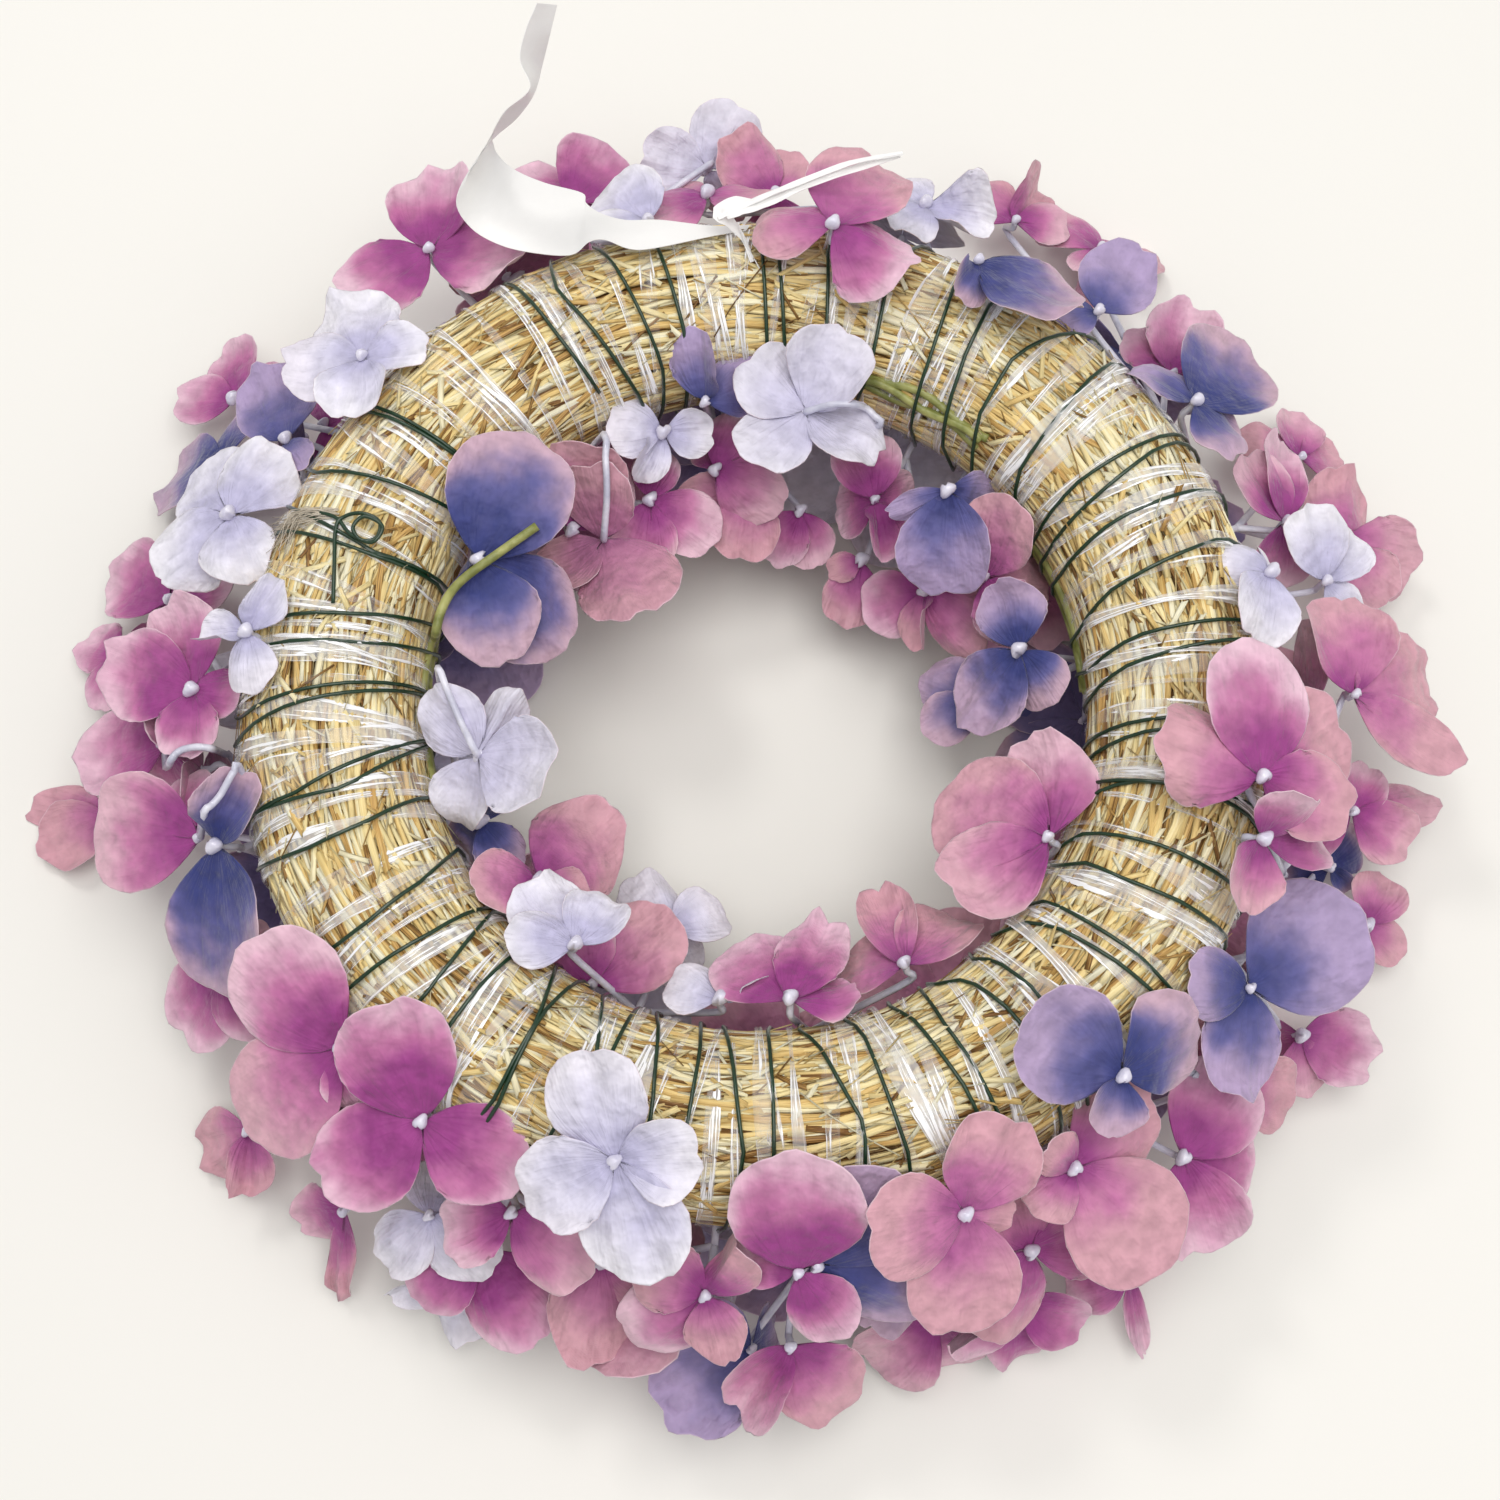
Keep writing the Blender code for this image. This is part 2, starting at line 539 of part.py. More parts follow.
# Each spray: colour, then its florets. A floret: column and row of its bud in the
# picture, how far it lies behind its neighbours, its petals as (direction in plan,
# length), and where it isn't the usual, the lean of its face from straight up.
SPRAYS = [
    ("mauve", [(430, 250, -6, ((90, 25), (213, 26), (352, 29))), (572, 205, 14, ((140, 24), (60, 21), (230, 20)))]),
    ("lilac", [(648, 222, 0, ((120, 22), (200, 14))), (707, 170, 4, ((65, 20), (165, 18), (300, 14)), 160)]),
    ("lilac", [(363, 357, 0, ((113, 25), (185, 20), (8, 16), (268, 18)))]),
    ("mauve", [(235, 400, 8, ((100, 20), (170, 18), (30, 18))), (325, 425, 10, ((80, 20), (0, 18), (300, 18)))]),
    ("blue", [(287, 440, 4, ((115, 25), (300, 18))), (222, 462, 10, ((172, 27), (100, 20)))]),
    ("lilac", [(230, 515, -2, ((127, 24), (62, 22), (212, 24), (290, 20)))]),
    ("lilac", [(247, 632, 0, ((180, 14), (62, 15), (277, 15)))]),
    ("mauve", [(193, 690, 2, ((111, 25), (163, 26), (355, 15), (268, 17))), (170, 600, 14, ((150, 24), (20, 20), (80, 20))),
               (120, 655, 12, ((155, 16), (250, 16)))]),
    ("mauve", [(200, 838, 5, ((174, 31), (120, 20))), (165, 745, 8, ((178, 26), (95, 16))), (108, 815, 18, ((174, 25), (205, 20)))]),
    ("blue", [(217, 846, 0, ((265, 35), (57, 20)))]),
    ("mauve", [(340, 1048, 0, ((130, 32), (217, 33), (284, 15))), (222, 965, 12, ((222, 25), (300, 20)))]),
    ("mauve", [(422, 1121, 0, ((104, 29), (213, 27), (330, 27))), (345, 1210, 16, ((253, 24), (200, 16))),
               (250, 1130, 16, ((205, 20), (262, 16)))]),
    ("lilac", [(430, 1215, 10, ((225, 18), (318, 20))), (450, 1275, 20, ((280, 18), (200, 16)))]),
    ("mauve", [(512, 1212, 6, ((322, 23), (200, 18))), (478, 1250, 12, ((300, 26), (215, 20))),
               (600, 1262, 8, ((262, 24), (345, 18)))]),
    ("lilac", [(615, 1160, 0, ((103, 25), (6, 19), (282, 28), (206, 23)))]),
    ("mauve", [(705, 1295, 0, ((64, 32), (150, 17), (215, 22), (285, 16)))]),
    ("blue", [(817, 1264, 0, ((56, 34), (345, 28))), (752, 1348, 14, ((217, 26), (150, 16))),
              (925, 1262, 14, ((240, 20), (300, 16)))]),
    ("mauve", [(798, 1272, 4, ((92, 31), (300, 27), (160, 16))), (790, 1345, 14, ((300, 24), (240, 20)))]),
    ("mauve", [(965, 1213, 0, ((72, 24), (185, 24), (273, 28), (350, 12))), (935, 1315, 14, ((290, 22), (230, 22)))]),
    ("mauve", [(1030, 1250, 6, ((250, 24), (15, 22), (120, 20))), (1020, 1305, 16, ((285, 22), (205, 20), (335, 18))),
               (1130, 1275, 16, ((285, 19), (200, 16)))]),
    ("mauve", [(1074, 1168, 0, ((315, 32), (38, 25), (140, 23), (225, 14)))]),
    ("mauve", [(1182, 1157, 2, ((352, 22), (54, 26), (287, 24))), (1235, 1085, 12, ((345, 20), (60, 18), (110, 20)))]),
    ("blue", [(1122, 1075, 0, ((150, 28), (24, 26), (260, 14)))]),
    ("blue", [(1249, 988, 0, ((31, 36), (262, 25), (175, 18))), (1345, 868, 18, ((40, 16), (320, 14)))]),
    ("mauve", [(1300, 1035, 16, ((345, 22), (285, 16))), (1365, 925, 16, ((20, 16), (62, 15), (330, 14)))]),
    ("mauve", [(1262, 838, 4, ((22, 26), (78, 16), (250, 18))), (1352, 812, 10, ((8, 25), (330, 18), (62, 14)))]),
    ("mauve", [(1261, 777, 0, ((92, 32), (158, 26), (28, 30), (345, 24))), (1354, 695, 0, ((95, 26), (18, 29), (332, 30)))]),
    ("lilac", [(1270, 572, 0, ((248, 20), (168, 13))), (1325, 582, 4, ((112, 20), (60, 20), (318, 15)))]),
    ("mauve", [(1285, 522, 6, ((120, 20), (84, 24))), (1340, 545, 12, ((75, 24), (345, 22), (300, 20))),
               (1300, 458, 14, ((85, 16), (18, 17), (165, 18)))]),
    ("blue", [(1195, 402, 0, ((150, 18), (46, 31), (302, 18), (340, 26))), (1098, 312, 4, ((60, 24), (200, 12)))]),
    ("blue", [(978, 262, 0, ((330, 28), (240, 13)))]),
    ("mauve", [(1172, 375, 10, ((110, 25), (70, 22), (35, 18))), (1100, 250, 10, ((125, 20), (28, 23), (240, 15))),
               (1015, 222, 12, ((62, 19), (130, 18), (5, 16)))]),
    ("mauve", [(833, 225, 0, ((65, 28), (172, 20), (325, 22))), (775, 195, 10, ((130, 20), (80, 16))),
               (707, 195, 6, ((210, 24), (150, 15), (342, 20)))]),
    ("lilac", [(925, 205, 2, ((342, 19), (236, 18), (112, 16)))]),
    ("blue", [(478, 560, 0, ((68, 33), (284, 26), (318, 30)))]),
    ("mauve", [(604, 540, 4, ((216, 27), (299, 29)), 158), (572, 530, 12, ((88, 24), (60, 22))),
               (650, 500, 8, ((262, 20), (330, 20), (80, 14)))]),
    ("blue", [(705, 402, 4, ((95, 18), (28, 17)))]),
    ("lilac", [(806, 412, -2, ((142, 20), (51, 22), (228, 22), (328, 21)), 165), (663, 416, 2, ((177, 17), (355, 13), (240, 14)))]),
    ("mauve", [(715, 470, 10, ((100, 20), (60, 18), (330, 20))), (750, 490, 12, ((262, 19), (205, 20))),
               (800, 510, 14, ((280, 18), (240, 16)))]),
    ("mauve", [(875, 500, 6, ((100, 18), (275, 17))), (862, 560, 14, ((252, 18), (200, 16))),
               (925, 590, 12, ((200, 18), (320, 22), (262, 16)))]),
    ("blue", [(948, 490, 0, ((263, 27), (200, 15)))]),
    ("mauve", [(985, 578, 4, ((62, 22), (300, 18)))]),
    ("blue", [(1020, 650, 4, ((98, 18), (222, 24), (300, 16))), (978, 700, 12, ((150, 18), (205, 16)))]),
    ("mauve", [(1049, 838, 0, ((205, 27), (150, 31), (98, 27)))]),
    ("mauve", [(790, 1000, 0, ((120, 28), (74, 26), (20, 16))), (905, 965, 4, ((58, 23), (108, 24), (155, 20)))]),
    ("lilac", [(670, 930, 10, ((115, 19), (30, 16), (220, 16))), (720, 1000, 6, ((150, 14), (30, 14))),
               (575, 945, 8, ((120, 20), (172, 16), (60, 16)))]),
    ("mauve", [(538, 879, 0, ((47, 29), (198, 18), (335, 14))), (592, 985, 6, ((46, 26), (105, 18)))]),
    ("blue", [(480, 822, 8, ((232, 15), (310, 14)))]),
    ("lilac", [(478, 755, 0, ((128, 20), (56, 18), (243, 19), (344, 23)), 160)]),
]
# Florets that are not seen from above: where their buds stand, from the hole's middle out and
# above the table, how they lean, how many go round the wreath, and their petals' least length
HIDDEN_ROWS = [(121.0, 3.1, 174, 17, 4, 27), (88.0, 3.1, 174, 12, 4, 27), (140.0, 33.0, 100, 10, 3, 24)]
CROWDED = 15.0              # each floret that a spray was given makes it count as this much further off
FACE_UP_LEAN = 22.0
HIDDEN = 100                # comes after every floret that is seen
SEEN_TABLE = 1.2            # the lowest that seen florets reach, so that those on the face carry the wreath
UPRIGHT_FACE = 0.5          # a floret that faces sideways has its petals turned in its own plane
SIDE_TOP = 66.0             # height of a floret's bud beside the ring
LOWEST_BUD = 7.0


def resting_height(place, behind):
    """Height of a floret's bud: beside the ring near its top, lower the further out it reaches."""
    reach = math.hypot(place.x, place.y)
    if reach > RING_MIDDLE:
        height = SIDE_TOP - 0.95 * max(0.0, reach - RING_OUTER - 1)
    else:
        height = SIDE_TOP - 3 - 0.85 * max(0.0, RING_MIDDLE - TUBE - 3 - reach)
    return max(LOWEST_BUD, height - behind)


def hub_of(column, row, behind):
    """The bud's place, found on the line of sight at the height that suits its reach."""
    height = SIDE_TOP
    for step in range(6):
        place = seen_at(column, row, height)
        height = resting_height(place, behind)
    return seen_at(column, row, height)


def leaning(direction, degrees):
    """A unit vector that leans from straight up towards a plan direction."""
    lean = math.radians(degrees)
    flat = Vector((direction.x, direction.y, 0)).normalized()
    return flat * math.sin(lean) + Vector((0, 0, math.cos(lean)))


def florets_of(members):
    """The florets of a spray as (hub, face direction, petals)."""
    florets = []
    for member in members:
        column, row, behind, petals = member[:4]
        hub = hub_of(column, row, behind)
        away = Vector((hub.x, hub.y, 0))
        if away.length < RING_MIDDLE:
            away = -away
        degrees = member[4] if len(member) > 4 else FACE_UP_LEAN * (0.5 + noise("lean", column))
        florets.append((hub, leaning(away, degrees), petals))
    return florets


def hidden_florets():
    """Evenly spread florets on the wreath's face and low side, each with the spray that stands nearest."""
    places = [[hub_of(*member[:3]) for member in members] for _, members in SPRAYS]
    given = {}

    def distance(i):
        nearest = min((place.xy - hub.xy).length for place in places[i])
        return nearest + CROWDED * len(given.get(i, []))

    for row, (reach, height, lean, count, petal_count, least) in enumerate(HIDDEN_ROWS):
        outside = reach > RING_MIDDLE
        beside = [i for i, hubs in enumerate(places) if (hubs[0].xy.length > RING_MIDDLE) == outside]
        for k in range(count):
            turn = 2 * math.pi * (k + 0.3 * noise("row", row, k)) / count
            hub = Vector((reach * math.cos(turn), reach * math.sin(turn), height))
            index = min(beside, key=distance)
            first = 360 * noise("turn", row, k)
            petals = tuple((first + 360 * p / petal_count, least + 4 * noise("front", row, k, p))
                           for p in range(petal_count))
            given.setdefault(index, []).append((hub, leaning(hub, lean), petals))
    return given


def petal_choices(key, p, hub, normal, direction, length):
    """The petal's frame and size, and its shapes in the order they are tried."""
    turn = math.radians(direction)
    if abs(normal.z) > UPRIGHT_FACE:
        plan = Vector((math.cos(turn), math.sin(turn), 0))
        forward = (plan - normal * plan.dot(normal)).normalized()
    else:
        level = Vector((-normal.y, normal.x, 0)).normalized()
        forward = level * math.cos(turn) + normal.cross(level) * math.sin(turn)
    across = normal.cross(forward)
    width = length * (0.86 + 0.12 * noise("width", *key, p))
    bend = math.radians(-14 + 34 * (noise("bend", *key, p) - 0.5))
    fold = 0.5 * (noise("fold", *key, p) - 0.6)
    first = 12 * (noise("lift", *key, p) - 0.3)
    shapes = []
    for change in (0, 10, -10, 20, -20, 32, -32, 46, -46, 62, -62):
        shapes.append((math.radians(first + change), bend, fold))
    return (hub, forward, across, normal), (length, width), shapes


def moved_hubs(hub):
    """The bud's place, and others on or near its line of sight where it may stand clear."""
    line = (hub - EYE).normalized()
    beside = EYE_RIGHT * 4
    above = line.cross(EYE_RIGHT).normalized() * 4
    places = []
    for aside in (Vector(), beside, -beside, above, -above):
        for shift in (0, 3, -3, 6, -6, 10, -10, 14, -14, 18, -18, 23):
            place = hub + line * shift + aside
            if place.z >= min(LOWEST_BUD - 1, hub.z):
                places.append(place)
    return places


class Room:
    """The skins of what is already placed, each with its owner, to ask whether something new is clear."""

    def __init__(self):
        self.points, self.faces, self.owners, self.tree = [], [], [], None

    def add(self, points, faces, owner):
        start = len(self.points)
        self.points += points
        self.faces += [tuple(start + v for v in face) for face in faces]
        self.owners += [owner] * len(faces)
        self.tree = None

    def met_by(self, points, faces):
        """The owners of all that a closed shape runs into."""
        if self.tree is None:
            self.tree = BVHTree.FromPolygons(self.points, self.faces)
        return {self.owners[b] for _, b in BVHTree.FromPolygons(points, faces).overlap(self.tree)}

    def is_clear(self, points, faces, owner):
        return not self.met_by(points, faces) - {owner}


def seats(hub, straw):
    """Places on the straw, between turns of wire, where a spray's stalk may stand, nearest first."""
    around = math.degrees(math.atan2(hub.y, hub.x))
    outside = hub.xy.length > RING_MIDDLE
    found = []
    for section in ((345, 358, 12, 315, 300) if outside else (215, 200, 175, 235, 250)):
        nearest = round((around - WIRE_START) / 360 * WIRE_TURNS)
        for turn in (0, 1, -1, 2, -2, 3, -3):
            for part in (0.5, 0.3, 0.7):
                done = nearest + turn + part + (section - 90) / 360
                angle = wire_around(done)
                start = tube_point(angle, section, 30)
                core = tube_point(angle, section, -TUBE)
                inward = (core - start).normalized()
                hit = straw.ray_cast(start, inward)[0]
                miss = abs((angle - around + 180) % 360 - 180)
                found.append((miss + 0.15 * abs(section - (345 if outside else 215)), hit, -inward))
    found.sort(key=lambda seat: seat[0])
    return found


def grown_rod(path, radius):
    """A rod a little too thick, to test that the true one stands clear."""
    return rod(path, radius + 2 * CLEAR, 3)


def try_floret(room, owner, key, hub, normal, petals, joint, table):
    """The clearest pose of one floret: its cost and its pieces, or None where there is no room."""
    best = None
    for h, place in enumerate(moved_hubs(hub)):
        stem = grown_rod(stem_path(place, normal, joint), STEM_RADIUS)
        if not (room.is_clear(*stem, owner) and room.is_clear(*bud(place, normal * 1.2), owner)):
            continue
        chosen = []
        cost = 1.5 * h
        if best and cost >= best[0]:
            break
        for p, (direction, length) in enumerate(petals):
            frame, size, shapes = petal_choices(key, p, place, normal, direction, length)
            for s, shape in enumerate(shapes):
                if room.is_clear(*blade(frame, size, shape, CLEAR), owner):
                    cost += s + 3 * len(room.met_by(*blade(frame, size, shape)))
                    chosen.append((frame, size, shape))
                    break
        cost += 30 * (len(petals) - len(chosen))
        if not chosen or (best and cost >= best[0]):
            continue
        pieces = floret(place, normal, chosen, joint, table)
        if all(room.is_clear(*piece, owner) and not crossing_faces(*piece) for piece in pieces):
            best = (cost, pieces)
            if cost < GOOD_COST:
                break
    return best


def best_seat(room, owner, index, florets, straw):
    """The cost and joint of a spray's stalk, and the solids of that stalk and its first floret."""
    hub, normal, petals = florets[0]
    best = None
    tried = 0
    for away, seat, outward in seats(hub, straw):
        joint = seat + outward * (STALK + 4 * (tried % 2))
        stalk = rod([seat + outward * FOOT_GAP, joint + outward * 1.2], STALK_RADIUS, 3)
        grown_stalk = grown_rod([seat + outward * 2 * FOOT_GAP, joint], STALK_RADIUS)
        if joint.z < 4 or not (room.is_clear(*stalk, owner) and room.is_clear(*grown_stalk, owner)):
            continue
        found = try_floret(room, owner, (index, 0), hub, normal, petals, joint, SEEN_TABLE)
        if found and (best is None or found[0] + 0.1 * away < best[0]):
            best = (found[0] + 0.1 * away, joint, [stalk] + found[1])
        tried += 1
        if best and (best[0] < GOOD_COST or tried > SEATS_TRIED):
            break
    return best


def place_sprays(room, straw):
    """The solids of every spray by name: all first florets, nearest the eye, before those behind them."""
    sprays = {}
    later = []
    names = []
    hidden = hidden_florets()
    for colour, members in SPRAYS:
        names.append(f"{colour}_spray_{1 + sum(name.startswith(colour) for name in names):02d}")
    for index in sorted(range(len(SPRAYS)), key=lambda i: SPRAYS[i][1][0][2]):
        name = names[index]
        florets = florets_of(SPRAYS[index][1]) + hidden.get(index, [])
        found = best_seat(room, name, index, florets, straw)
        if found is None:
            print(name, "has no seat")
            continue
        cost, joint, sprays[name] = found
        for piece in sprays[name]:
            room.add(*piece, name)
        if cost > 20:
            print(name, index, "first floret costs", round(cost))
        for f in range(1, len(florets)):
            behind = SPRAYS[index][1][f][2] if f < len(SPRAYS[index][1]) else HIDDEN
            later.append((behind, index, f, name, joint, florets[f]))
    later.sort(key=lambda entry: entry[:3])
    for behind, index, f, name, joint, (hub, normal, petals) in later:
        table = SEEN_TABLE + 0.3 * f if behind < HIDDEN else 0.3 * (f - len(SPRAYS[index][1]))
        found = try_floret(room, name, (index, f), hub, normal, petals, joint, table)
        if found is None:
            print(name, index, "has no room for floret", f)
            continue
        if found[0] > 40:
            print(name, index, f, "costs", round(found[0]))
        for piece in found[1]:
            room.add(*piece, name)
            sprays[name].append(piece)
    return {name: sprays[name] for name in names if name in sprays}


def fuse(name, pieces, colour):
    """One object from overlapping solids, by one Boolean union on a collection."""
    rest = bpy.data.collections.new(name + "_pieces")
    body = solid(name, *pieces[0], colour)
    for k, (points, faces) in enumerate(pieces[1:]):
        piece = solid(f"{name}_piece_{k}", points, faces, colour)
        bpy.context.collection.objects.unlink(piece)
        rest.objects.link(piece)
    union = body.modifiers.new("union", "BOOLEAN")
    union.operation = "UNION"
    union.operand_type = "COLLECTION"
    union.collection = rest
    union.solver = "EXACT"
    bpy.context.view_layer.update()
    fused = bpy.data.meshes.new_from_object(body.evaluated_get(bpy.context.evaluated_depsgraph_get()))
    body.modifiers.clear()
    body.data = fused
    fused.materials.clear()
    fused.materials.append(material(name, colour))
    for piece in list(rest.objects):
        used = piece.data
        bpy.data.objects.remove(piece)
        bpy.data.meshes.remove(used)
    bpy.data.collections.remove(rest)
    return body


def keep_outer_body(thing):
    """Drop loose scraps and fill any hollow that the union sealed, by keeping the largest shell."""
    mesh = thing.data
    group = list(range(len(mesh.vertices)))

    def root(v):
        while group[v] != v:
            group[v] = group[group[v]]
            v = group[v]
        return v

    for edge in mesh.edges:
        a, b = root(edge.vertices[0]), root(edge.vertices[1])
        group[a] = b
    sizes = {}
    for v in range(len(mesh.vertices)):
        sizes.setdefault(root(v), []).append(v)
    if len(sizes) == 1:
        return
    keep = set(max(sizes.values(), key=len))
    index = {v: k for k, v in enumerate(sorted(keep))}
    points = [mesh.vertices[v].co.copy() for v in sorted(keep)]
    faces = [tuple(index[v] for v in p.vertices) for p in mesh.polygons if p.vertices[0] in keep]
    clean = bpy.data.meshes.new(thing.name)
    clean.from_pydata(points, [], faces)
    clean.materials.append(mesh.materials[0])
    thing.data = clean


def rest_on_origin(things):
    """Move everything so that the middle of its box is at X = Y = 0 and its lowest point at Z = 0."""
    low = Vector((1e9, 1e9, 1e9))
    high = -low
    for thing in things:
        for vertex in thing.data.vertices:
            for k in range(3):
                low[k] = min(low[k], vertex.co[k])
                high[k] = max(high[k], vertex.co[k])
    shift = Matrix.Translation((-(low.x + high.x) / 2, -(low.y + high.y) / 2, -low.z))
    for thing in things:
        thing.data.transform(shift)


def main():
    for thing in list(bpy.data.objects):
        bpy.data.objects.remove(thing)
    ring = straw_ring()
    things = [ring, green_wire(), clear_film(), label_strip(), film_tail()]
    for name, section, start, end in GREEN_STEMS:
        things.append(green_stem(name, section, start, end, seen_at(538, 526, 62) if start == 158 else None))
    straw = BVHTree.FromPolygons(*skin_of(ring))
    room = Room()
    for thing in things:
        room.add(*skin_of(thing), thing.name)
    for name, pieces in place_sprays(room, straw).items():
        spray = fuse(name, pieces, name.split("_")[0])
        keep_outer_body(spray)
        things.append(spray)
    print("nodes", len(things), "triangles", sum(len(p.vertices) - 2 for t in things for p in t.data.polygons))
    rest_on_origin(things)


main()
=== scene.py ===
# %% [markdown]
# # A hydrangea wreath, seen from its back
# The real wreath is a ring of pressed straw, wound with clear film by its maker. Sprays
# of fabric hydrangeas stand out from its face and sides, green wire is wound over their
# stems, and a paper label is wrapped over the ring's far side. It lies face down, so this
# scene shows the back: straw, film and wire, with petals all round and inside the hole.
#
# The CAD model already says where everything stands. This lesson dresses it: each piece
# is modelled once, its copies are bent one by one to their places, and each finish is
# made from nodes. Lengths are in millimetres from the ring's middle until a mesh is made.

# %% Tools and the frame
import math
import random
from collections import Counter, namedtuple
from functools import partial

import bmesh
import bpy
import numpy as np
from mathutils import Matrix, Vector
from mathutils.bvhtree import BVHTree
from mathutils.kdtree import KDTree


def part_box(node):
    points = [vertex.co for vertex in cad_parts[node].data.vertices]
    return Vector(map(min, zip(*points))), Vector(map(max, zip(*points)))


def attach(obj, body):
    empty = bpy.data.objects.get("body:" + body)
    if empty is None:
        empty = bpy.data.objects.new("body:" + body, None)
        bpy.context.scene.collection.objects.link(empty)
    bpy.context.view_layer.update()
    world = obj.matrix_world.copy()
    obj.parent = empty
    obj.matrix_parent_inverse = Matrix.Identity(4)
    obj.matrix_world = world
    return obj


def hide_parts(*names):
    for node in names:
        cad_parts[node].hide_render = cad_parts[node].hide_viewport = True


MM = 0.001
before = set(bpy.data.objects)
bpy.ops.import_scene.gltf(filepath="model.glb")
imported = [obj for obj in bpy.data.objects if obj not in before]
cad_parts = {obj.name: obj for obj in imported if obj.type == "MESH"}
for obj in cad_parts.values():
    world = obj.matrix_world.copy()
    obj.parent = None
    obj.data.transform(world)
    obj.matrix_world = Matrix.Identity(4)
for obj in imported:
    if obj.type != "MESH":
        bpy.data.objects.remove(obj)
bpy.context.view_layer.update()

# %% [markdown]
# ## Sizes shared with the CAD model
# A straw ring of 25 cm is a tube bent round a circle. A place on it is given by two
# angles: degrees round the ring, and degrees round the tube, where 0 faces away from the
# hole, 90 faces up and 180 faces into the hole. Any point can be found from these two.

# %% The ring
RING_OUTER = 125.0
TUBE = 21.3
RING_MIDDLE = RING_OUTER - TUBE
RING_HEIGHT = 49.0
GROOVE = 1.5


def noise(*key):
    """A fixed draw between 0 and 1 for a key, so that each run gives the same wreath."""
    return random.Random("-".join(str(k) for k in key)).random()


def between(low, high, *key):
    """A fixed draw between two values."""
    return low + (high - low) * noise(*key)


def tube_point(around, section, lift=0.0):
    """A point over the straw, from degrees round the ring and degrees round the tube."""
    a, s = math.radians(around), math.radians(section)
    reach = RING_MIDDLE + (TUBE + lift) * math.cos(s)
    return Vector((reach * math.cos(a), reach * math.sin(a), RING_HEIGHT + (TUBE + lift) * math.sin(s)))


def tube_points(around, section, lift):
    """The same for whole arrays of angles at once."""
    a, s = np.radians(around), np.radians(section)
    reach = RING_MIDDLE + (TUBE + lift) * np.cos(s)
    height = RING_HEIGHT + (TUBE + lift) * np.sin(s)
    return np.stack([reach * np.cos(a), reach * np.sin(a), height], axis=-1)


# The CAD ring's outermost corners are this far in from its true outside
dip_x = GROOVE * 0.25 * noise("groove", 0, 0, 0)
dip_y = GROOVE * 0.25 * noise("groove", 0, 9, 0)
ring_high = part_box("straw_ring")[1] / MM
SHIFT = Vector((ring_high.x - RING_OUTER + dip_x, ring_high.y - RING_OUTER + dip_y, 0))
print("the ring's middle stands at", [round(x, 2) for x in SHIFT], "mm")

# %% [markdown]
# ## The camera
# The picture looks down steeply, 75 degrees above the table, from about half a metre. A
# lens of 49 mm on a 36 mm sensor gives the same spread of sight lines. With the camera
# known, a place in the picture and a height give one point in space, which is how the
# wires, the label and the loose ends are put where the picture shows them.

# %% Sight lines and the camera
FRAME_MIDDLE = 750
FOCAL_PIXELS = 2054.0
EYE_DISTANCE = 500.0
EYE_ELEVATION = math.radians(75.3)
EYE_TARGET = Vector((-1.7, -12.75, RING_HEIGHT))
EYE_FORWARD = Vector((0, math.cos(EYE_ELEVATION), -math.sin(EYE_ELEVATION)))
EYE_UP = Vector((0, math.sin(EYE_ELEVATION), math.cos(EYE_ELEVATION)))
EYE_RIGHT = Vector((1, 0, 0))
EYE = EYE_TARGET - EYE_FORWARD * EYE_DISTANCE
SENSOR = 36.0
FRAME_PIXELS = 1500
SIGHT_STEPS = 160
ABOVE_STRAW = 6.0


def sight_line(column, row):
    """Direction from the eye through a place in the picture."""
    across = (column - FRAME_MIDDLE) / FOCAL_PIXELS
    up = (FRAME_MIDDLE - row) / FOCAL_PIXELS
    return (EYE_FORWARD + EYE_RIGHT * across + EYE_UP * up).normalized()


def seen_at(column, row, height):
    """The point at this height that the picture shows at this place."""
    line = sight_line(column, row)
    return EYE + line * ((height - EYE.z) / line.z)


def picture_of(point):
    """Column and row where the picture shows a point."""
    away = Vector(point) - EYE
    scale = FOCAL_PIXELS / away.dot(EYE_FORWARD)
    return FRAME_MIDDLE + away.dot(EYE_RIGHT) * scale, FRAME_MIDDLE - away.dot(EYE_UP) * scale


def on_tube(column, row):
    """Degrees round the ring and round the tube of the straw seen at a place in the picture."""
    line = sight_line(column, row)
    near = (RING_HEIGHT + TUBE + ABOVE_STRAW - EYE.z) / line.z
    far = (RING_HEIGHT - TUBE - EYE.z) / line.z
    best = None
    for k in range(SIGHT_STEPS + 1):
        point = EYE + line * (near + (far - near) * k / SIGHT_STEPS)
        outward = point.xy.length - RING_MIDDLE
        off = math.hypot(outward, point.z - RING_HEIGHT)
        if best is None or off < best[0]:
            best = (off, point)
        if off < TUBE:
            break
    point = best[1]
    around = math.degrees(math.atan2(point.y, point.x))
    section = math.degrees(math.atan2(point.z - RING_HEIGHT, point.xy.length - RING_MIDDLE))
    return around, section % 360


camera = bpy.data.objects.new("camera", bpy.data.cameras.new("camera"))
bpy.context.scene.collection.objects.link(camera)
camera.location = (EYE + SHIFT) * MM
camera.rotation_euler = (math.pi / 2 - EYE_ELEVATION, 0, 0)
camera.data.sensor_width = SENSOR
camera.data.lens = SENSOR * FOCAL_PIXELS / FRAME_PIXELS
camera.data.clip_start = 0.01
camera.data.clip_end = 20
bpy.context.scene.camera = camera
place = [round(x, 4) for x in camera.location]
print("camera at", place, "with a lens of", round(camera.data.lens, 1), "mm")

# %% [markdown]
# ## Table and light
# The wreath lies on a pale table in soft light. A wide lamp above lights the petals and
# the table inside the hole, a smaller one stands for the window whose glints show on the
# film, and a pale sky fills the shadows. The plain view transform is chosen, because it
# keeps dyed colours as they are mixed.

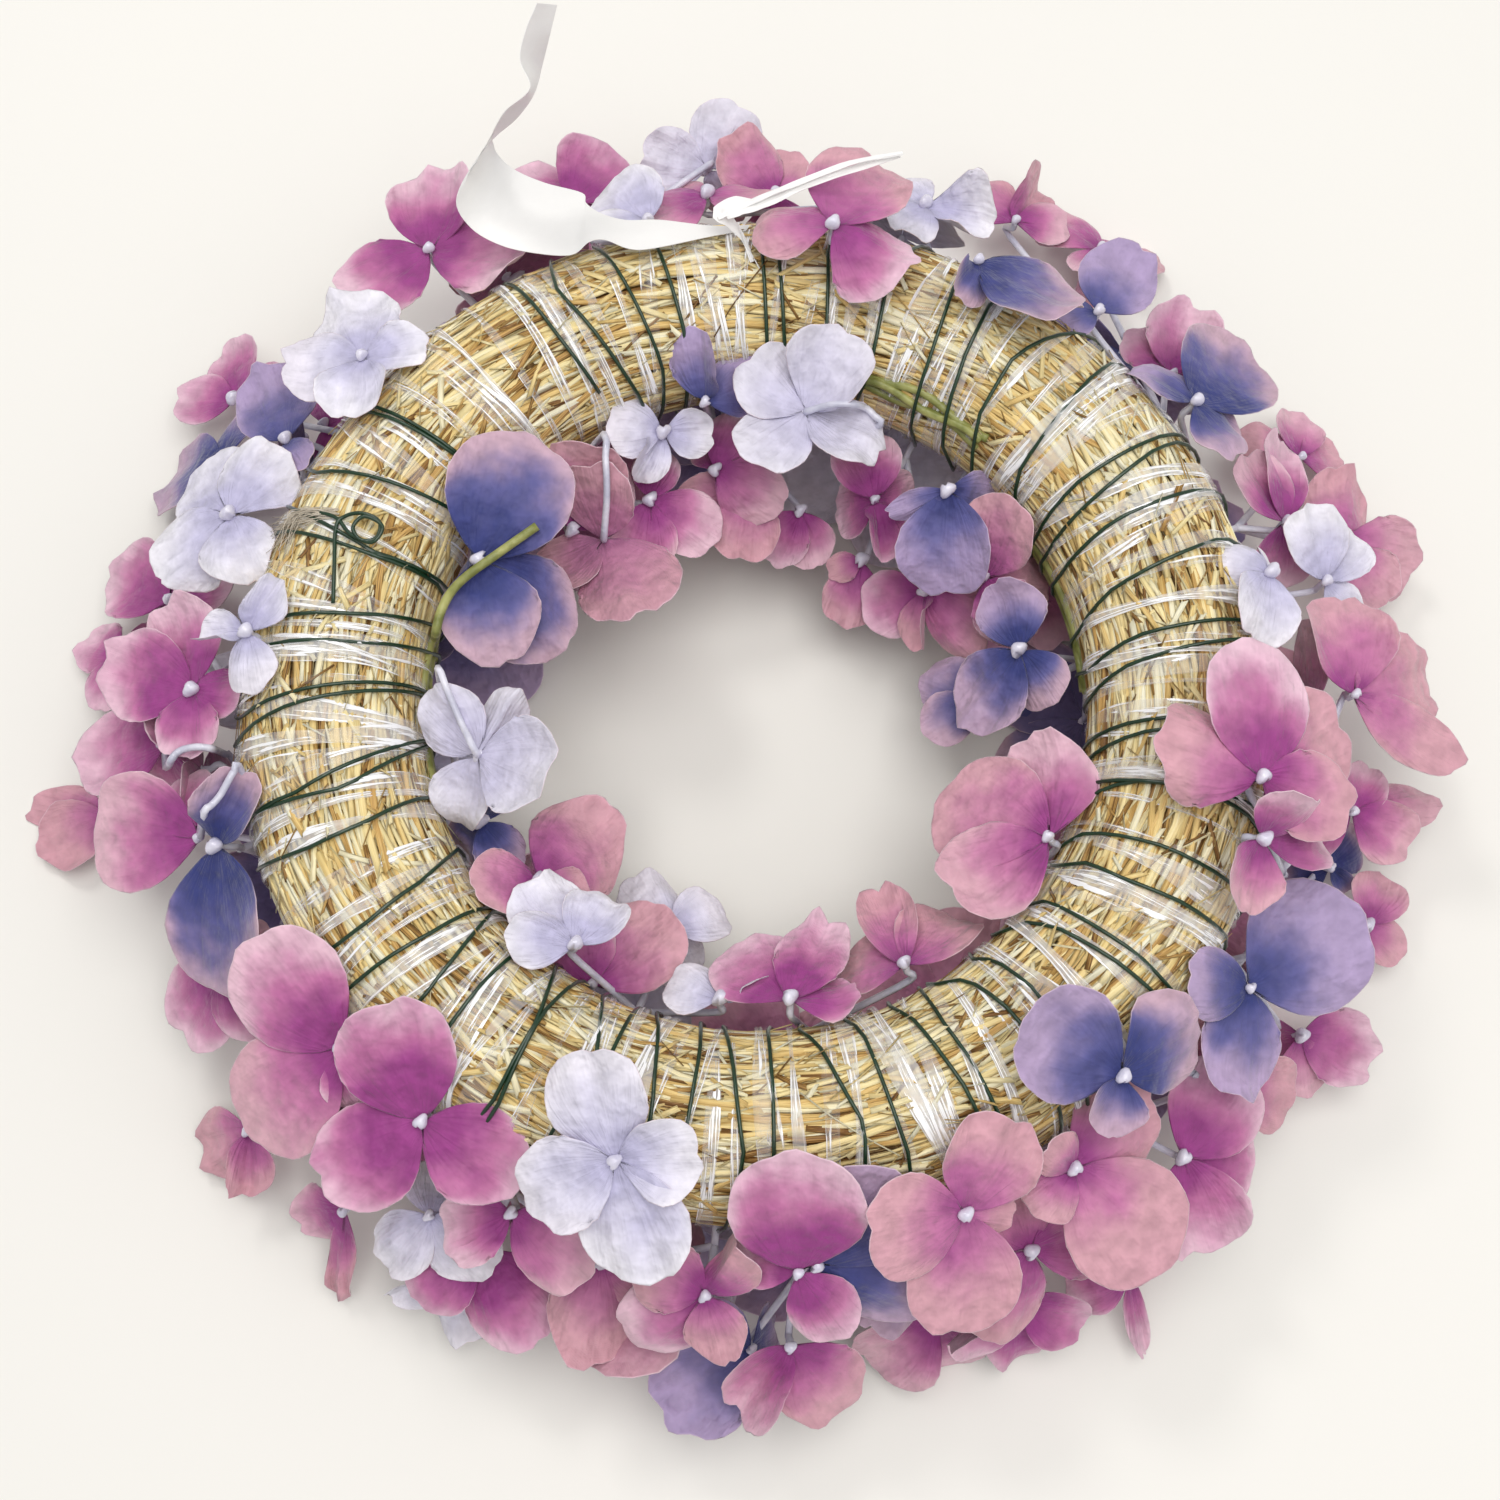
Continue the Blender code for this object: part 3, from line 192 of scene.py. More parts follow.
# %% Table and light
FLOOR_SIZE = 6.0
FLOOR_COLOUR = (243, 241, 235)
FLOOR_SPOTS = (238, 236, 230)
SKY_COLOUR = (250, 250, 252)
SKY_STRENGTH = 0.52
LAMP_COLOUR = (1.0, 0.985, 0.96)


def dye(red, green, blue, alpha=1.0):
    """A colour as it is read off a screen, made linear for the shader."""
    parts = [c / 255 for c in (red, green, blue)]
    return [c / 12.92 if c <= 0.04045 else ((c + 0.055) / 1.055) ** 2.4 for c in parts] + [alpha]


def into_scene(name, data):
    """A new thing in the scene, the only one selected."""
    thing = bpy.data.objects.new(name, data)
    bpy.context.scene.collection.objects.link(thing)
    bpy.ops.object.select_all(action="DESELECT")
    thing.select_set(True)
    bpy.context.view_layer.objects.active = thing
    return thing


def add_node(tree, kind, place=(0, 0), **settings):
    """A node of a kind, with its settings."""
    node = tree.nodes.new(kind)
    node.location = place
    for name, value in settings.items():
        setattr(node, name, value)
    return node


def new_finish(name, roughness):
    """A material with an empty Principled shader, and that shader's inputs."""
    finish = bpy.data.materials.new(name)
    finish.use_nodes = True
    shader = finish.node_tree.nodes["Principled BSDF"]
    shader.inputs["Roughness"].default_value = roughness
    return finish, finish.node_tree, shader.inputs


bpy.ops.object.select_all(action="DESELECT")
bpy.ops.mesh.primitive_plane_add(size=FLOOR_SIZE)
floor = bpy.context.object
floor.name = "table"
table_finish, tree, sockets = new_finish("pale_table", 0.55)
spots = add_node(tree, "ShaderNodeTexNoise", (-600, 0))
spots.inputs["Scale"].default_value = 9
tint = add_node(tree, "ShaderNodeMix", (-300, 0), data_type="RGBA")
tint.inputs["A"].default_value = dye(*FLOOR_COLOUR)
tint.inputs["B"].default_value = dye(*FLOOR_SPOTS)
tree.links.new(spots.outputs["Fac"], tint.inputs["Factor"])
tree.links.new(tint.outputs["Result"], sockets["Base Color"])
floor.data.materials.append(table_finish)

world = bpy.data.worlds.new("soft_sky")
world.use_nodes = True
world.node_tree.nodes["Background"].inputs["Color"].default_value = dye(*SKY_COLOUR)
world.node_tree.nodes["Background"].inputs["Strength"].default_value = SKY_STRENGTH
bpy.context.scene.world = world

LAMPS = [  # name, place, power, size, in metres and watts
    ("ceiling", (0.15, 0.0, 1.6), 12.5, 1.1),
    ("window", (-0.45, 0.75, 1.2), 3.4, 0.3),
    ("bounce", (0.9, -0.5, 1.2), 3.0, 1.4),
]
for name, place, power, size in LAMPS:
    lamp = bpy.data.lights.new(name, "AREA")
    lamp.energy = power
    lamp.size = size
    lamp.color = LAMP_COLOUR
    holder = into_scene(name, lamp)
    holder.location = place
    holder.rotation_euler = (-Vector(place)).to_track_quat("-Z", "Y").to_euler()
bpy.context.scene.view_settings.view_transform = "Standard"
print("table and", len(LAMPS), "lamps")

# %% [markdown]
# ## Blanks and heaps
# Petals, stalks and buds repeat hundreds of times. Each is modelled once as a blank, with
# Blender's own tools, and read into arrays. A copy is the same faces with new points, so
# every copy can be bent in its own way. All the copies that belong to one piece go into a
# heap, which becomes one mesh. Three numbers go with each point for the materials: the
# tone drawn for its copy, whether it lies on the cut rim, and whether on the back.

# %% Blanks and heaps
def alone():
    """Leave edit mode and deselect everything, so that an operator acts on its own piece."""
    if bpy.context.object and bpy.context.object.mode != "OBJECT":
        bpy.ops.object.mode_set(mode="OBJECT")
    bpy.ops.object.select_all(action="DESELECT")


def pick(chosen):
    """In edit mode, select these corners and nothing else."""
    bpy.ops.mesh.select_all(action="DESELECT")
    mesh = bpy.context.object.data
    shape = bmesh.from_edit_mesh(mesh)
    shape.verts.ensure_lookup_table()
    for index in chosen:
        shape.verts[index].select = True
    shape.select_flush(True)
    bmesh.update_edit_mesh(mesh)


def plan_place(vertex):
    """Where a corner lies in plan, rounded so that it can be compared."""
    return round(vertex.co.x, 4), round(vertex.co.y, 4)


def flat_grid(name, rows, columns):
    """A flat grid 1 long along X and 1 wide, to be drawn out to a blank."""
    alone()
    bpy.ops.mesh.primitive_grid_add(x_subdivisions=rows, y_subdivisions=columns, size=1, location=(0.5, 0, 0))
    bpy.ops.object.transform_apply(location=True, rotation=False, scale=True)
    bpy.context.object.name = name
    return bpy.context.object


def faces_of(corners, sizes):
    """Faces as lists of corners, from all corners in a row and the number that each face has."""
    row = corners.tolist()
    return [row[end - size:end] for end, size in zip(np.cumsum(sizes).tolist(), sizes.tolist())]


class Blank:
    """A modelled shape, read once, whose copies are bent one by one."""

    def __init__(self, thing, rim=(), wrap=False):
        mesh = thing.data
        self.points = np.array([v.co for v in mesh.vertices], float)
        self.corners = np.array([loop.vertex_index for loop in mesh.loops])
        self.sizes = np.array([polygon.loop_total for polygon in mesh.polygons])
        self.rim = np.array([plan_place(v) in rim for v in mesh.vertices], float)
        self.back = (self.points[:, 2] < 0).astype(float)
        if wrap:
            turn = np.arctan2(self.points[:, 2], self.points[:, 1]) / (2 * np.pi)
            self.uv = np.stack([self.points[:, 0], turn], axis=-1)[self.corners]
        else:
            self.uv = np.array([spot.uv for spot in mesh.uv_layers.active.data], float)
        bpy.data.objects.remove(thing)
        bpy.data.meshes.remove(mesh)


class Heap:
    """Bent copies of blanks, gathered to become one piece with one mesh."""

    def __init__(self):
        self.count = 0
        self.parts = []

    def add(self, blank, points, tone):
        """A copy of a blank, with its own points and tone."""
        self.parts.append((points, blank.corners + self.count, blank.sizes, blank.uv,
                           blank.rim, blank.back, np.full(len(points), tone)))
        self.count += len(points)

    def piece(self, name, finish, slot=None, stands_for=()):
        """All the copies as one mesh with its finish."""
        points, corners, sizes, uv, rim, back, tone = (np.concatenate(part) for part in zip(*self.parts))
        mesh = bpy.data.meshes.new(name)
        mesh.from_pydata(((points + np.array(SHIFT)) * MM).tolist(), [], faces_of(corners, sizes))
        mesh.uv_layers.new(name="UVMap").data.foreach_set("uv", uv.ravel())
        for label, values in (("rim", rim), ("back", back), ("tone", tone)):
            mesh.attributes.new(label, "FLOAT", "POINT").data.foreach_set("value", values)
        mesh.shade_smooth()
        return finished(mesh, name, finish, stands_for)


TRIANGLES = {}


def finished(mesh, name, finish, stands_for=()):
    """A piece with its finish, riding on the wreath, in place of the CAD nodes it stands for."""
    mesh.materials.clear()
    mesh.materials.append(finish)
    thing = into_scene(name, mesh)
    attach(thing, "root")
    if stands_for:
        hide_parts(*stands_for)
    TRIANGLES[name] = sum(len(p.vertices) - 2 for p in mesh.polygons)
    return thing


def smooth_path(points, steps):
    """A smooth path through points, with so many steps between two of them."""
    points = [Vector(p) for p in points]
    ends = [points[0] * 2 - points[1]] + points + [points[-1] * 2 - points[-2]]
    path = []
    for a, b, c, d in zip(ends, ends[1:], ends[2:], ends[3:]):
        for k in range(steps):
            t = k / steps
            path.append(0.5 * (2 * b + (c - a) * t + (2 * a - 5 * b + 4 * c - d) * t * t
                               + (3 * b - a - 3 * c + d) * t ** 3))
    return path + [points[-1]]


def cords(name, paths, radius, finish, stands_for=(), rounds=1, swell=None):
    """Round lines through points: one curve with a bevel, made a mesh."""
    alone()
    curve = bpy.data.curves.new(name, "CURVE")
    curve.dimensions = "3D"
    curve.bevel_depth = radius * MM
    curve.bevel_resolution = rounds
    curve.use_fill_caps = True
    for path in paths:
        spline = curve.splines.new("POLY")
        spline.points.add(len(path) - 1)
        for k, (spot, point) in enumerate(zip(spline.points, path)):
            spot.co = (*((Vector(point) + SHIFT) * MM), 1)
            spot.radius = swell(k / (len(path) - 1)) if swell else 1
    into_scene(name, curve)
    bpy.ops.object.convert(target="MESH")
    drawn = bpy.context.object
    bpy.ops.object.mode_set(mode="EDIT")
    bpy.ops.mesh.select_all(action="SELECT")
    bpy.ops.mesh.remove_doubles(threshold=0.00001)
    bpy.ops.mesh.normals_make_consistent(inside=False)
    bpy.ops.object.mode_set(mode="OBJECT")
    bpy.ops.object.shade_smooth()
    mesh = drawn.data.copy()
    bpy.data.objects.remove(drawn)
    return finished(mesh, name, finish, stands_for)


print("helpers ready")

# %% [markdown]
# ## Finishes from nodes
# Several finishes need the same effects. The cloth of all three colours is dyed in the
# same way, and straw and film both have streaks that run along them. Each effect is a
# node group with named inputs, built once and placed in each material with its own
# values. The groups give only colours and numbers, and the shader stays in the material.

# %% Node helpers
class Signal:
    """A value on its way through a material. Sums and products of signals become math nodes."""

    def __init__(self, tree, socket):
        self.tree, self.socket = tree, socket

    def maths(self, operation, other, clamp=False):
        """This signal and another value in a math node."""
        node = add_node(self.tree, "ShaderNodeMath", operation=operation, use_clamp=clamp)
        feed(self, node.inputs[0])
        feed(other, node.inputs[1])
        return Signal(self.tree, node.outputs[0])

    def __add__(self, other):
        return self.maths("ADD", other)

    def __sub__(self, other):
        return self.maths("SUBTRACT", other)

    def __mul__(self, other):
        return self.maths("MULTIPLY", other)

    def eased(self, low, high):
        """0 below one value, 1 above another, and a soft step between."""
        node = add_node(self.tree, "ShaderNodeMapRange", interpolation_type="SMOOTHSTEP")
        for label, value in (("Value", self), ("From Min", low), ("From Max", high)):
            feed(value, node.inputs[label])
        return Signal(self.tree, node.outputs["Result"])


def feed(value, socket):
    """A value for a socket: a signal is joined to it, and a number or a colour is set on it."""
    if isinstance(value, Signal):
        value.tree.links.new(value.socket, socket)
    else:
        socket.default_value = value


def signals(tree, node):
    """A node's outputs by name, as signals."""
    return {out.name: Signal(tree, out) for out in node.outputs if out.enabled}


def blended(factor, first, second, kind="MIX"):
    """Two colours mixed by a factor; each may be a signal or set."""
    tree = next(value.tree for value in (factor, first, second) if isinstance(value, Signal))
    node = add_node(tree, "ShaderNodeMix", data_type="RGBA", blend_type=kind)
    for label, value in (("Factor", factor), ("A", first), ("B", second)):
        feed(value, node.inputs[label])
    return signals(tree, node)["Result"]


def mark(tree, name):
    """A number that goes with each point of a piece."""
    return signals(tree, add_node(tree, "ShaderNodeAttribute", attribute_name=name))["Fac"]


def coordinates(tree):
    """Along and across a blank, and the place in the whole piece."""
    places = signals(tree, add_node(tree, "ShaderNodeTexCoord"))
    cut = add_node(tree, "ShaderNodeSeparateXYZ")
    feed(places["UV"], cut.inputs[0])
    parts = signals(tree, cut)
    return parts["X"], parts["Y"], places["Object"]


def joined(*values):
    """Three signals as one vector."""
    node = add_node(values[0].tree, "ShaderNodeCombineXYZ")
    for value, socket in zip(values, node.inputs):
        feed(value, socket)
    return Signal(values[0].tree, node.outputs[0])


def cloud(vector, scale, detail=3.0):
    """A soft noise at a scale, as a number round one half."""
    node = add_node(vector.tree, "ShaderNodeTexNoise")
    for label, value in (("Vector", vector), ("Scale", scale), ("Detail", detail)):
        feed(value, node.inputs[label])
    return signals(vector.tree, node)["Fac"]


def pattern(kind, vector, scale, **settings):
    """The outputs of another texture on a vector, at a scale."""
    node = add_node(vector.tree, kind, **settings)
    feed(vector, node.inputs["Vector"])
    node.inputs["Scale"].default_value = scale
    return signals(vector.tree, node)


def new_group(name, inputs, outputs):
    """A shader node group: its tree, the signals that come in and the sockets that go out."""
    tree = bpy.data.node_groups.new(name, "ShaderNodeTree")
    for label, kind, value in inputs:
        socket = tree.interface.new_socket(name=label, in_out="INPUT", socket_type="NodeSocket" + kind)
        if value is not None:
            socket.default_value = value
    for label, kind in outputs:
        tree.interface.new_socket(name=label, in_out="OUTPUT", socket_type="NodeSocket" + kind)
    given = signals(tree, add_node(tree, "NodeGroupInput", (-1400, 0)))
    return tree, given, add_node(tree, "NodeGroupOutput", (900, 0)).inputs


def place_group(tree, group, **values):
    """A group placed in a tree with its inputs set, and its outputs as signals."""
    node = add_node(tree, "ShaderNodeGroup", node_tree=group)
    for label, value in values.items():
        feed(value, node.inputs[label.replace("_", " ")])
    return signals(tree, node)


def bumped(sockets, height, distance):
    """A height joined to a shader's normal through a bump, with its depth in millimetres."""
    bump = add_node(height.tree, "ShaderNodeBump")
    bump.inputs["Strength"].default_value = 1.0
    bump.inputs["Distance"].default_value = distance * MM
    feed(height, bump.inputs["Height"])
    feed(signals(height.tree, bump)["Normal"], sockets["Normal"])


print("node helpers ready")

# %% [markdown]
# ### Streaks along a stalk
# Fibres run along a straw, and film has streaks where it was stretched; the film's painted
# highlights follow the same streaks. A noise that is drawn out many times along the piece's
# own length gives them. The tone of the copy moves the pattern, so that no two stalks show
# the same streaks.

# %% Streaks
streaks, given, results = new_group(
    "Streaks", [("Across", "Float", 18.0), ("Along", "Float", 1.5)],
    [("Fine", "Float"), ("Broad", "Float")])
x, y, _ = coordinates(streaks)
for label, stretch in (("Fine", 1.0), ("Broad", 0.22)):
    place = joined(x * given["Along"], y * given["Across"] * stretch, mark(streaks, "tone") * 57.0)
    feed(cloud(place, 1.0), results[label])
print("group", streaks.name)

# %% [markdown]
# ### Dyed cloth
# The petals are stamped from white satin, dyed from the middle outwards and pressed in a
# hot mould. The dye is deep at the base, spreads unevenly and fades to a pale rim; the
# back is duller; the cut rim shows white threads. The mould leaves fine veins that fan
# out from the base and crumples the cloth; the colour is darkened in the veins and the
# crumples' hollows, partly as uneven dye and partly as painted shade. One group holds all
# this, and each colour of petal sets its dyes.

# %% Dyed petal
CUT_THREADS = (236, 214, 222)
DYES = ("Base", "Middle", "Rim", "Other Rim", "Back")
petal_dye, given, results = new_group(
    "Dyed petal", [(label, "Color", None) for label in DYES] + [("Spread", "Float", 0.0)],
    [("Colour", "Color"), ("Height", "Float"), ("Roughness", "Float")])
x, y, spot = coordinates(petal_dye)
tone = mark(petal_dye, "tone")
drift = (cloud(spot, 75) - 0.5) * 0.8 + (tone - 0.5) * 0.55
reach = x + drift + given["Spread"]
veins = cloud(joined(x * 1.6, y * 22.0, tone * 31.0), 1.0, 2.0)
crumple = cloud(spot, 260, 2.0)
rim = blended(tone.eased(0.35, 0.65), given["Rim"], given["Other Rim"])
colour = blended(reach.eased(0.12, 0.55), given["Base"], given["Middle"])
colour = blended(reach.eased(0.42, 0.98), colour, rim)
colour = blended(mark(petal_dye, "back") * 0.42, colour, given["Back"])
# Painted shade, partly uneven dye: the colour darkens where the veins and the crumple, which also raise the
# bump, run low.
shade = (veins * 0.1 + 0.95) * (crumple * 0.6 + 0.7)
colour = blended(1.0, colour, joined(shade, shade, shade), "MULTIPLY")
pale = mark(petal_dye, "rim").eased(0.35, 0.95) * (x.eased(0.35, 0.7) * 0.6)
feed(blended(pale, colour, dye(*CUT_THREADS)), results["Colour"])
weave = pattern("ShaderNodeTexWave", spot, 1300, wave_type="BANDS", bands_direction="DIAGONAL")["Fac"]
pebbles = pattern("ShaderNodeTexVoronoi", spot, 330, feature="SMOOTH_F1")["Distance"]
feed(veins * 0.3 + crumple * 0.8 + pebbles * 0.45 + weave * 0.012, results["Height"])
feed(veins * 0.2 + 0.5, results["Roughness"])
print("group", petal_dye.name)

# %% [markdown]
# ### Three colours of cloth
# The sprays are sold in mauve, in blue and in a lilac that is nearly white. Each is the
# same cloth with other dyes, with the soft sheen of satin. Where the dye was mixed unevenly
# a second tone shows at the rim.

# %% Petal finishes
PETAL_DYES = {  # base, middle, rim, other rim, back, and how far the pale rim spreads in
    "mauve": ((150, 58, 130), (188, 110, 156), (230, 192, 208), (208, 156, 168), (186, 136, 154), 0.0),
    "blue": ((46, 54, 116), (92, 90, 146), (200, 166, 182), (172, 152, 190), (138, 120, 152), 0.03),
    "lilac": ((188, 184, 214), (213, 209, 228), (236, 233, 240), (229, 223, 234), (206, 201, 218), 0.0)}
FINISHES = {}
for colour_name, (*dyes, spread) in PETAL_DYES.items():
    finish, tree, sockets = new_finish(colour_name + "_satin", 0.6)
    mixed = {label.replace(" ", "_"): dye(*colour) for label, colour in zip(DYES, dyes)}
    cloth = place_group(tree, petal_dye, **mixed, Spread=spread)
    feed(cloth["Colour"], sockets["Base Color"])
    feed(cloth["Roughness"], sockets["Roughness"])
    sockets["Sheen Weight"].default_value = 0.25
    sockets["Specular IOR Level"].default_value = 0.35
    bumped(sockets, cloth["Height"], 1.3)
    FINISHES[colour_name] = finish
print("petal finishes:", list(FINISHES))

# %% [markdown]
# ### Plain finishes
# Buds, stems, the pressed straw of the ring's core, wire, paper, plant stems and loose fibres
# have one colour each, which is never quite even on a real thing; the core is coloured darker
# than the stalks, as painted shade in the gaps between them. Each is two near colours mixed by
# a soft noise, with a fine bump and, where it is lacquered or moulded, a clear coat.

# %% Plain finishes
PLAIN_FINISHES = [  # name, roughness, coat, scale of its spots, their edge, two colours, bumps and depth
    ("bud_gloss", 0.25, 0.5, 420, None, (188, 184, 210), (244, 241, 250), 500, 0.4),
    ("pale_stem", 0.35, 0.3, 130, (0.35, 0.7), (194, 194, 212), (232, 230, 242), 700, 0.25),
    ("pressed_straw", 0.8, 0.0, 350, (0.4, 0.65), (112, 80, 42), (196, 158, 100), 500, 1.0),
    ("green_lacquer", 0.32, 0.4, 300, None, (8, 36, 18), (18, 62, 32), 900, 0.12),
    ("blank_paper", 0.38, 0.0, 60, None, (238, 237, 235), (250, 249, 247), 90, 0.7),
    ("green_plastic", 0.36, 0.0, 160, (0.35, 0.7), (118, 124, 60), (172, 172, 104), 600, 0.3),
    ("frayed_fibre", 0.8, 0.0, 200, None, (178, 166, 146), (226, 216, 200), 0, 0)]
for name, roughness, coat, fineness, edge, first, second, bumps, depth in PLAIN_FINISHES:
    FINISHES[name], tree, sockets = new_finish(name, roughness)
    _, _, spot = coordinates(tree)
    spots = cloud(spot, fineness)
    feed(blended(spots.eased(*edge) if edge else spots, dye(*first), dye(*second)), sockets["Base Color"])
    sockets["Coat Weight"].default_value = coat
    if bumps:
        bumped(sockets, cloud(spot, bumps), depth)
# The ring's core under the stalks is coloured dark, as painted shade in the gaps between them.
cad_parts["straw_ring"].data.materials[0] = FINISHES["pressed_straw"]
print("plain finishes:", [finish[0] for finish in PLAIN_FINISHES])

# %% [markdown]
# ### Straw and film
# Dry straw is pale gold with a waxy gloss, and each stalk has its own tone, from cream to
# brown. Film is clear and shows as white streaks, partly where it is stretched or lies double
# and partly as painted highlights in place of its glints, so its streaks decide how much of it is seen.

# %% Straw and film finishes
STRAW_TONES = [(0.0, (124, 84, 38)), (0.12, (206, 162, 90)), (0.3, (242, 210, 136)), (0.6, (254, 235, 174)),
               (1.0, (255, 252, 226))]
straw_finish, tree, sockets = new_finish("straw_stalks", 0.42)
grain = place_group(tree, streaks, Across=16.0, Along=2.2)
ramp = add_node(tree, "ShaderNodeValToRGB")
while len(ramp.color_ramp.elements) < len(STRAW_TONES):
    ramp.color_ramp.elements.new(0.5)
for element, (place, colour) in zip(ramp.color_ramp.elements, STRAW_TONES):
    element.position = place
    element.color = dye(*colour)
feed(grain["Fine"] * 0.5 + mark(tree, "tone") + grain["Broad"] * 0.3 - 0.4, ramp.inputs["Fac"])
feed(signals(tree, ramp)["Color"], sockets["Base Color"])
feed(grain["Broad"] * 0.3 + 0.26, sockets["Roughness"])
bumped(sockets, grain["Fine"], 0.35)

film_finish, tree, sockets = new_finish("clear_film", 0.15)
sockets["Base Color"].default_value = dye(254, 254, 255)
grain = place_group(tree, streaks, Across=5.0, Along=10.0)
# The white dashes are partly the film's stretch streaks and partly painted highlights: opaque white where
# clear film would glint.
streaks_and_painted_glints = grain["Fine"].eased(0.53, 0.57) * 0.92 * grain["Broad"].eased(0.42, 0.56)
haze = grain["Broad"].eased(0.44, 0.56) * 0.12 + mark(tree, "tone") * 0.26
feed((streaks_and_painted_glints + haze).maths("ADD", 0.05, clamp=True), sockets["Alpha"])
sockets["Specular IOR Level"].default_value = 1.0
bumped(sockets, grain["Fine"], 0.3)
print("finishes:", straw_finish.name, film_finish.name)

# %% [markdown]
# ## Straw
# The ring's own surface shows between the stalks, coloured darker as painted shade in the gaps
# between them. A stalk could be a plain cylinder, but chopped straw is flattened, split and cut aslant.
# So a five-sided face is extruded step by step, pressed flat and cut off at a slant, and
# a second blank is a flat split strip. Their copies are bent along the ring in layers:
# long ones that run with it, shorter ones at all angles on the back, and loose hairs.

# %% Stalk blanks
def cut_stalk(name, sides, steps, flatness, slant):
    """A stalk 1 long and 1 wide: a face extruded along X, flattened, with slanted ends."""
    alone()
    bpy.ops.mesh.primitive_circle_add(vertices=sides, radius=0.5, fill_type="NGON",
                                      rotation=(0, -math.pi / 2, 0))
    bpy.ops.object.transform_apply(location=True, rotation=True, scale=True)
    bpy.ops.object.mode_set(mode="EDIT")
    bpy.ops.mesh.select_all(action="SELECT")
    for _ in range(steps):
        bpy.ops.mesh.extrude_region_move(TRANSFORM_OT_translate={"value": (1 / steps, 0, 0)})
    bpy.ops.mesh.select_all(action="SELECT")
    bpy.ops.transform.resize(value=(1, 1, flatness), center_override=(0, 0, 0))
    mesh = bpy.context.object.data
    shape = bmesh.from_edit_mesh(mesh)
    pick([v.index for v in shape.verts if v.co.x > 0.99 and v.co.y > 0])
    bpy.ops.transform.translate(value=(-slant, 0, 0))
    bpy.ops.mesh.select_all(action="SELECT")
    bpy.ops.mesh.normals_make_consistent(inside=False)
    bpy.ops.object.mode_set(mode="OBJECT")
    thing = bpy.context.object
    thing.name = name
    edges = Counter(key for polygon in thing.data.polygons for key in polygon.edge_keys)
    faces = len(thing.data.polygons)
    print(name, "has", faces, "faces and", sum(n != 2 for n in edges.values()), "open edges")
    return Blank(thing, wrap=True)


round_stalk = cut_stalk("round_stalk", 5, 3, 0.5, 0.03)
split_stalk = cut_stalk("split_stalk", 4, 3, 0.28, 0.06)
short_stalk = cut_stalk("short_stalk", 5, 2, 0.4, 0.08)
hair = cut_stalk("hair", 3, 3, 0.8, 0.0)

# %% [markdown]
# ### Laying stalks on the ring
# Straw is pressed round the ring in bundles, so most stalks run with it and only the
# last ones lie across. A stalk that lies at a slant would cut into the round tube, so its
# ends are raised as far as the tube falls away under them, and then lifted a little more
# for the loose bits that stand up.

# %% Laying stalks on the ring
SECTORS = 6                 # pieces that the straw is divided into, round the ring


def lay(blank, around, section, heading, length, width, lift, lifted_end=0.0):
    """A stalk's points on the ring: turned by a heading from the ring's own direction."""
    along = (blank.points[:, 0] - 0.5) * length
    across = blank.points[:, 1] * width
    turn = math.radians(heading)
    forth = along * math.cos(turn) - across * math.sin(turn)
    over = along * math.sin(turn) + across * math.cos(turn)
    reach = RING_MIDDLE + TUBE * math.cos(math.radians(section))
    rise = 0.7 * (along * math.sin(turn)) ** 2 / (2 * TUBE)
    rise = rise + lifted_end * np.clip(blank.points[:, 0] - 0.4, 0, 1) ** 2
    height = lift + blank.points[:, 2] * width + rise
    return tube_points(around + np.degrees(forth / reach), section + np.degrees(over / TUBE), height)


STRAW_LAYERS = [  # name, how many, sections from and to, length, width, lift, most heading
    ("deep", 1700, (0, 360), (34, 70), (1.2, 2.6), (-0.4, 0.1), 5),
    ("middle", 2600, (0, 360), (24, 62), (0.8, 2.2), (0.0, 0.5), 9),
    ("top", 1250, (20, 165), (14, 46), (0.6, 2.2), (0.3, 0.8), 17),
    ("bits", 880, (35, 155), (5, 17), (0.5, 1.7), (0.5, 1.0), 70),
    ("hairs", 420, (10, 175), (8, 26), (0.25, 0.5), (0.6, 1.4), 60),
]
# The deepest layer of stalks gets a darker tone, as painted shade under the stalks that lie over it.
DEEP_PAINTED_SHADE = 0.3
heaps = [Heap() for _ in range(SECTORS)]
for layer, count, sections, lengths, widths, lifts, most in STRAW_LAYERS:
    for k in range(count):
        key = (layer, k)
        around = 360 * (k + noise("a", *key)) / count
        section = between(*sections, "s", *key)
        kind = noise("kind", *key)
        if layer == "hairs":
            blank = hair
        elif layer == "bits":
            blank = short_stalk
        else:
            blank = round_stalk if kind < 0.45 else split_stalk
        heading = most * (2 * noise("h", *key) - 1) * (0.4 + 0.6 * noise("h2", *key))
        ends = between(0.5, 4.5, "end", *key) if layer in ("hairs", "bits") and kind > 0.5 else 0.0
        length, width = between(*lengths, "l", *key), between(*widths, "w", *key)
        points = lay(blank, around, section, heading, length, width, between(*lifts, "t", *key), ends)
        # Stalks of the deep layer are darkened as painted shade.
        tone = max(0.0, noise("tone", *key) * 0.95 - (DEEP_PAINTED_SHADE if layer == "deep" else 0.0))
        heaps[int(around / 360 * SECTORS) % SECTORS].add(blank, points, tone)
for k, heap in enumerate(heaps):
    heap.piece(f"straw_{k + 1}", straw_finish, "straw")
print("straw:", sum(TRIANGLES.values()), "triangles")

# %% [markdown]
# ## Green wire
# The florist winds one lacquered wire round the ring, over the stems. Its crossings of
# the back are seen in the picture, so each is given by the places where the picture shows
# it, from the outside of the ring to the inside. The wire is one line through them all,
# carried on under the ring from one crossing to the next.

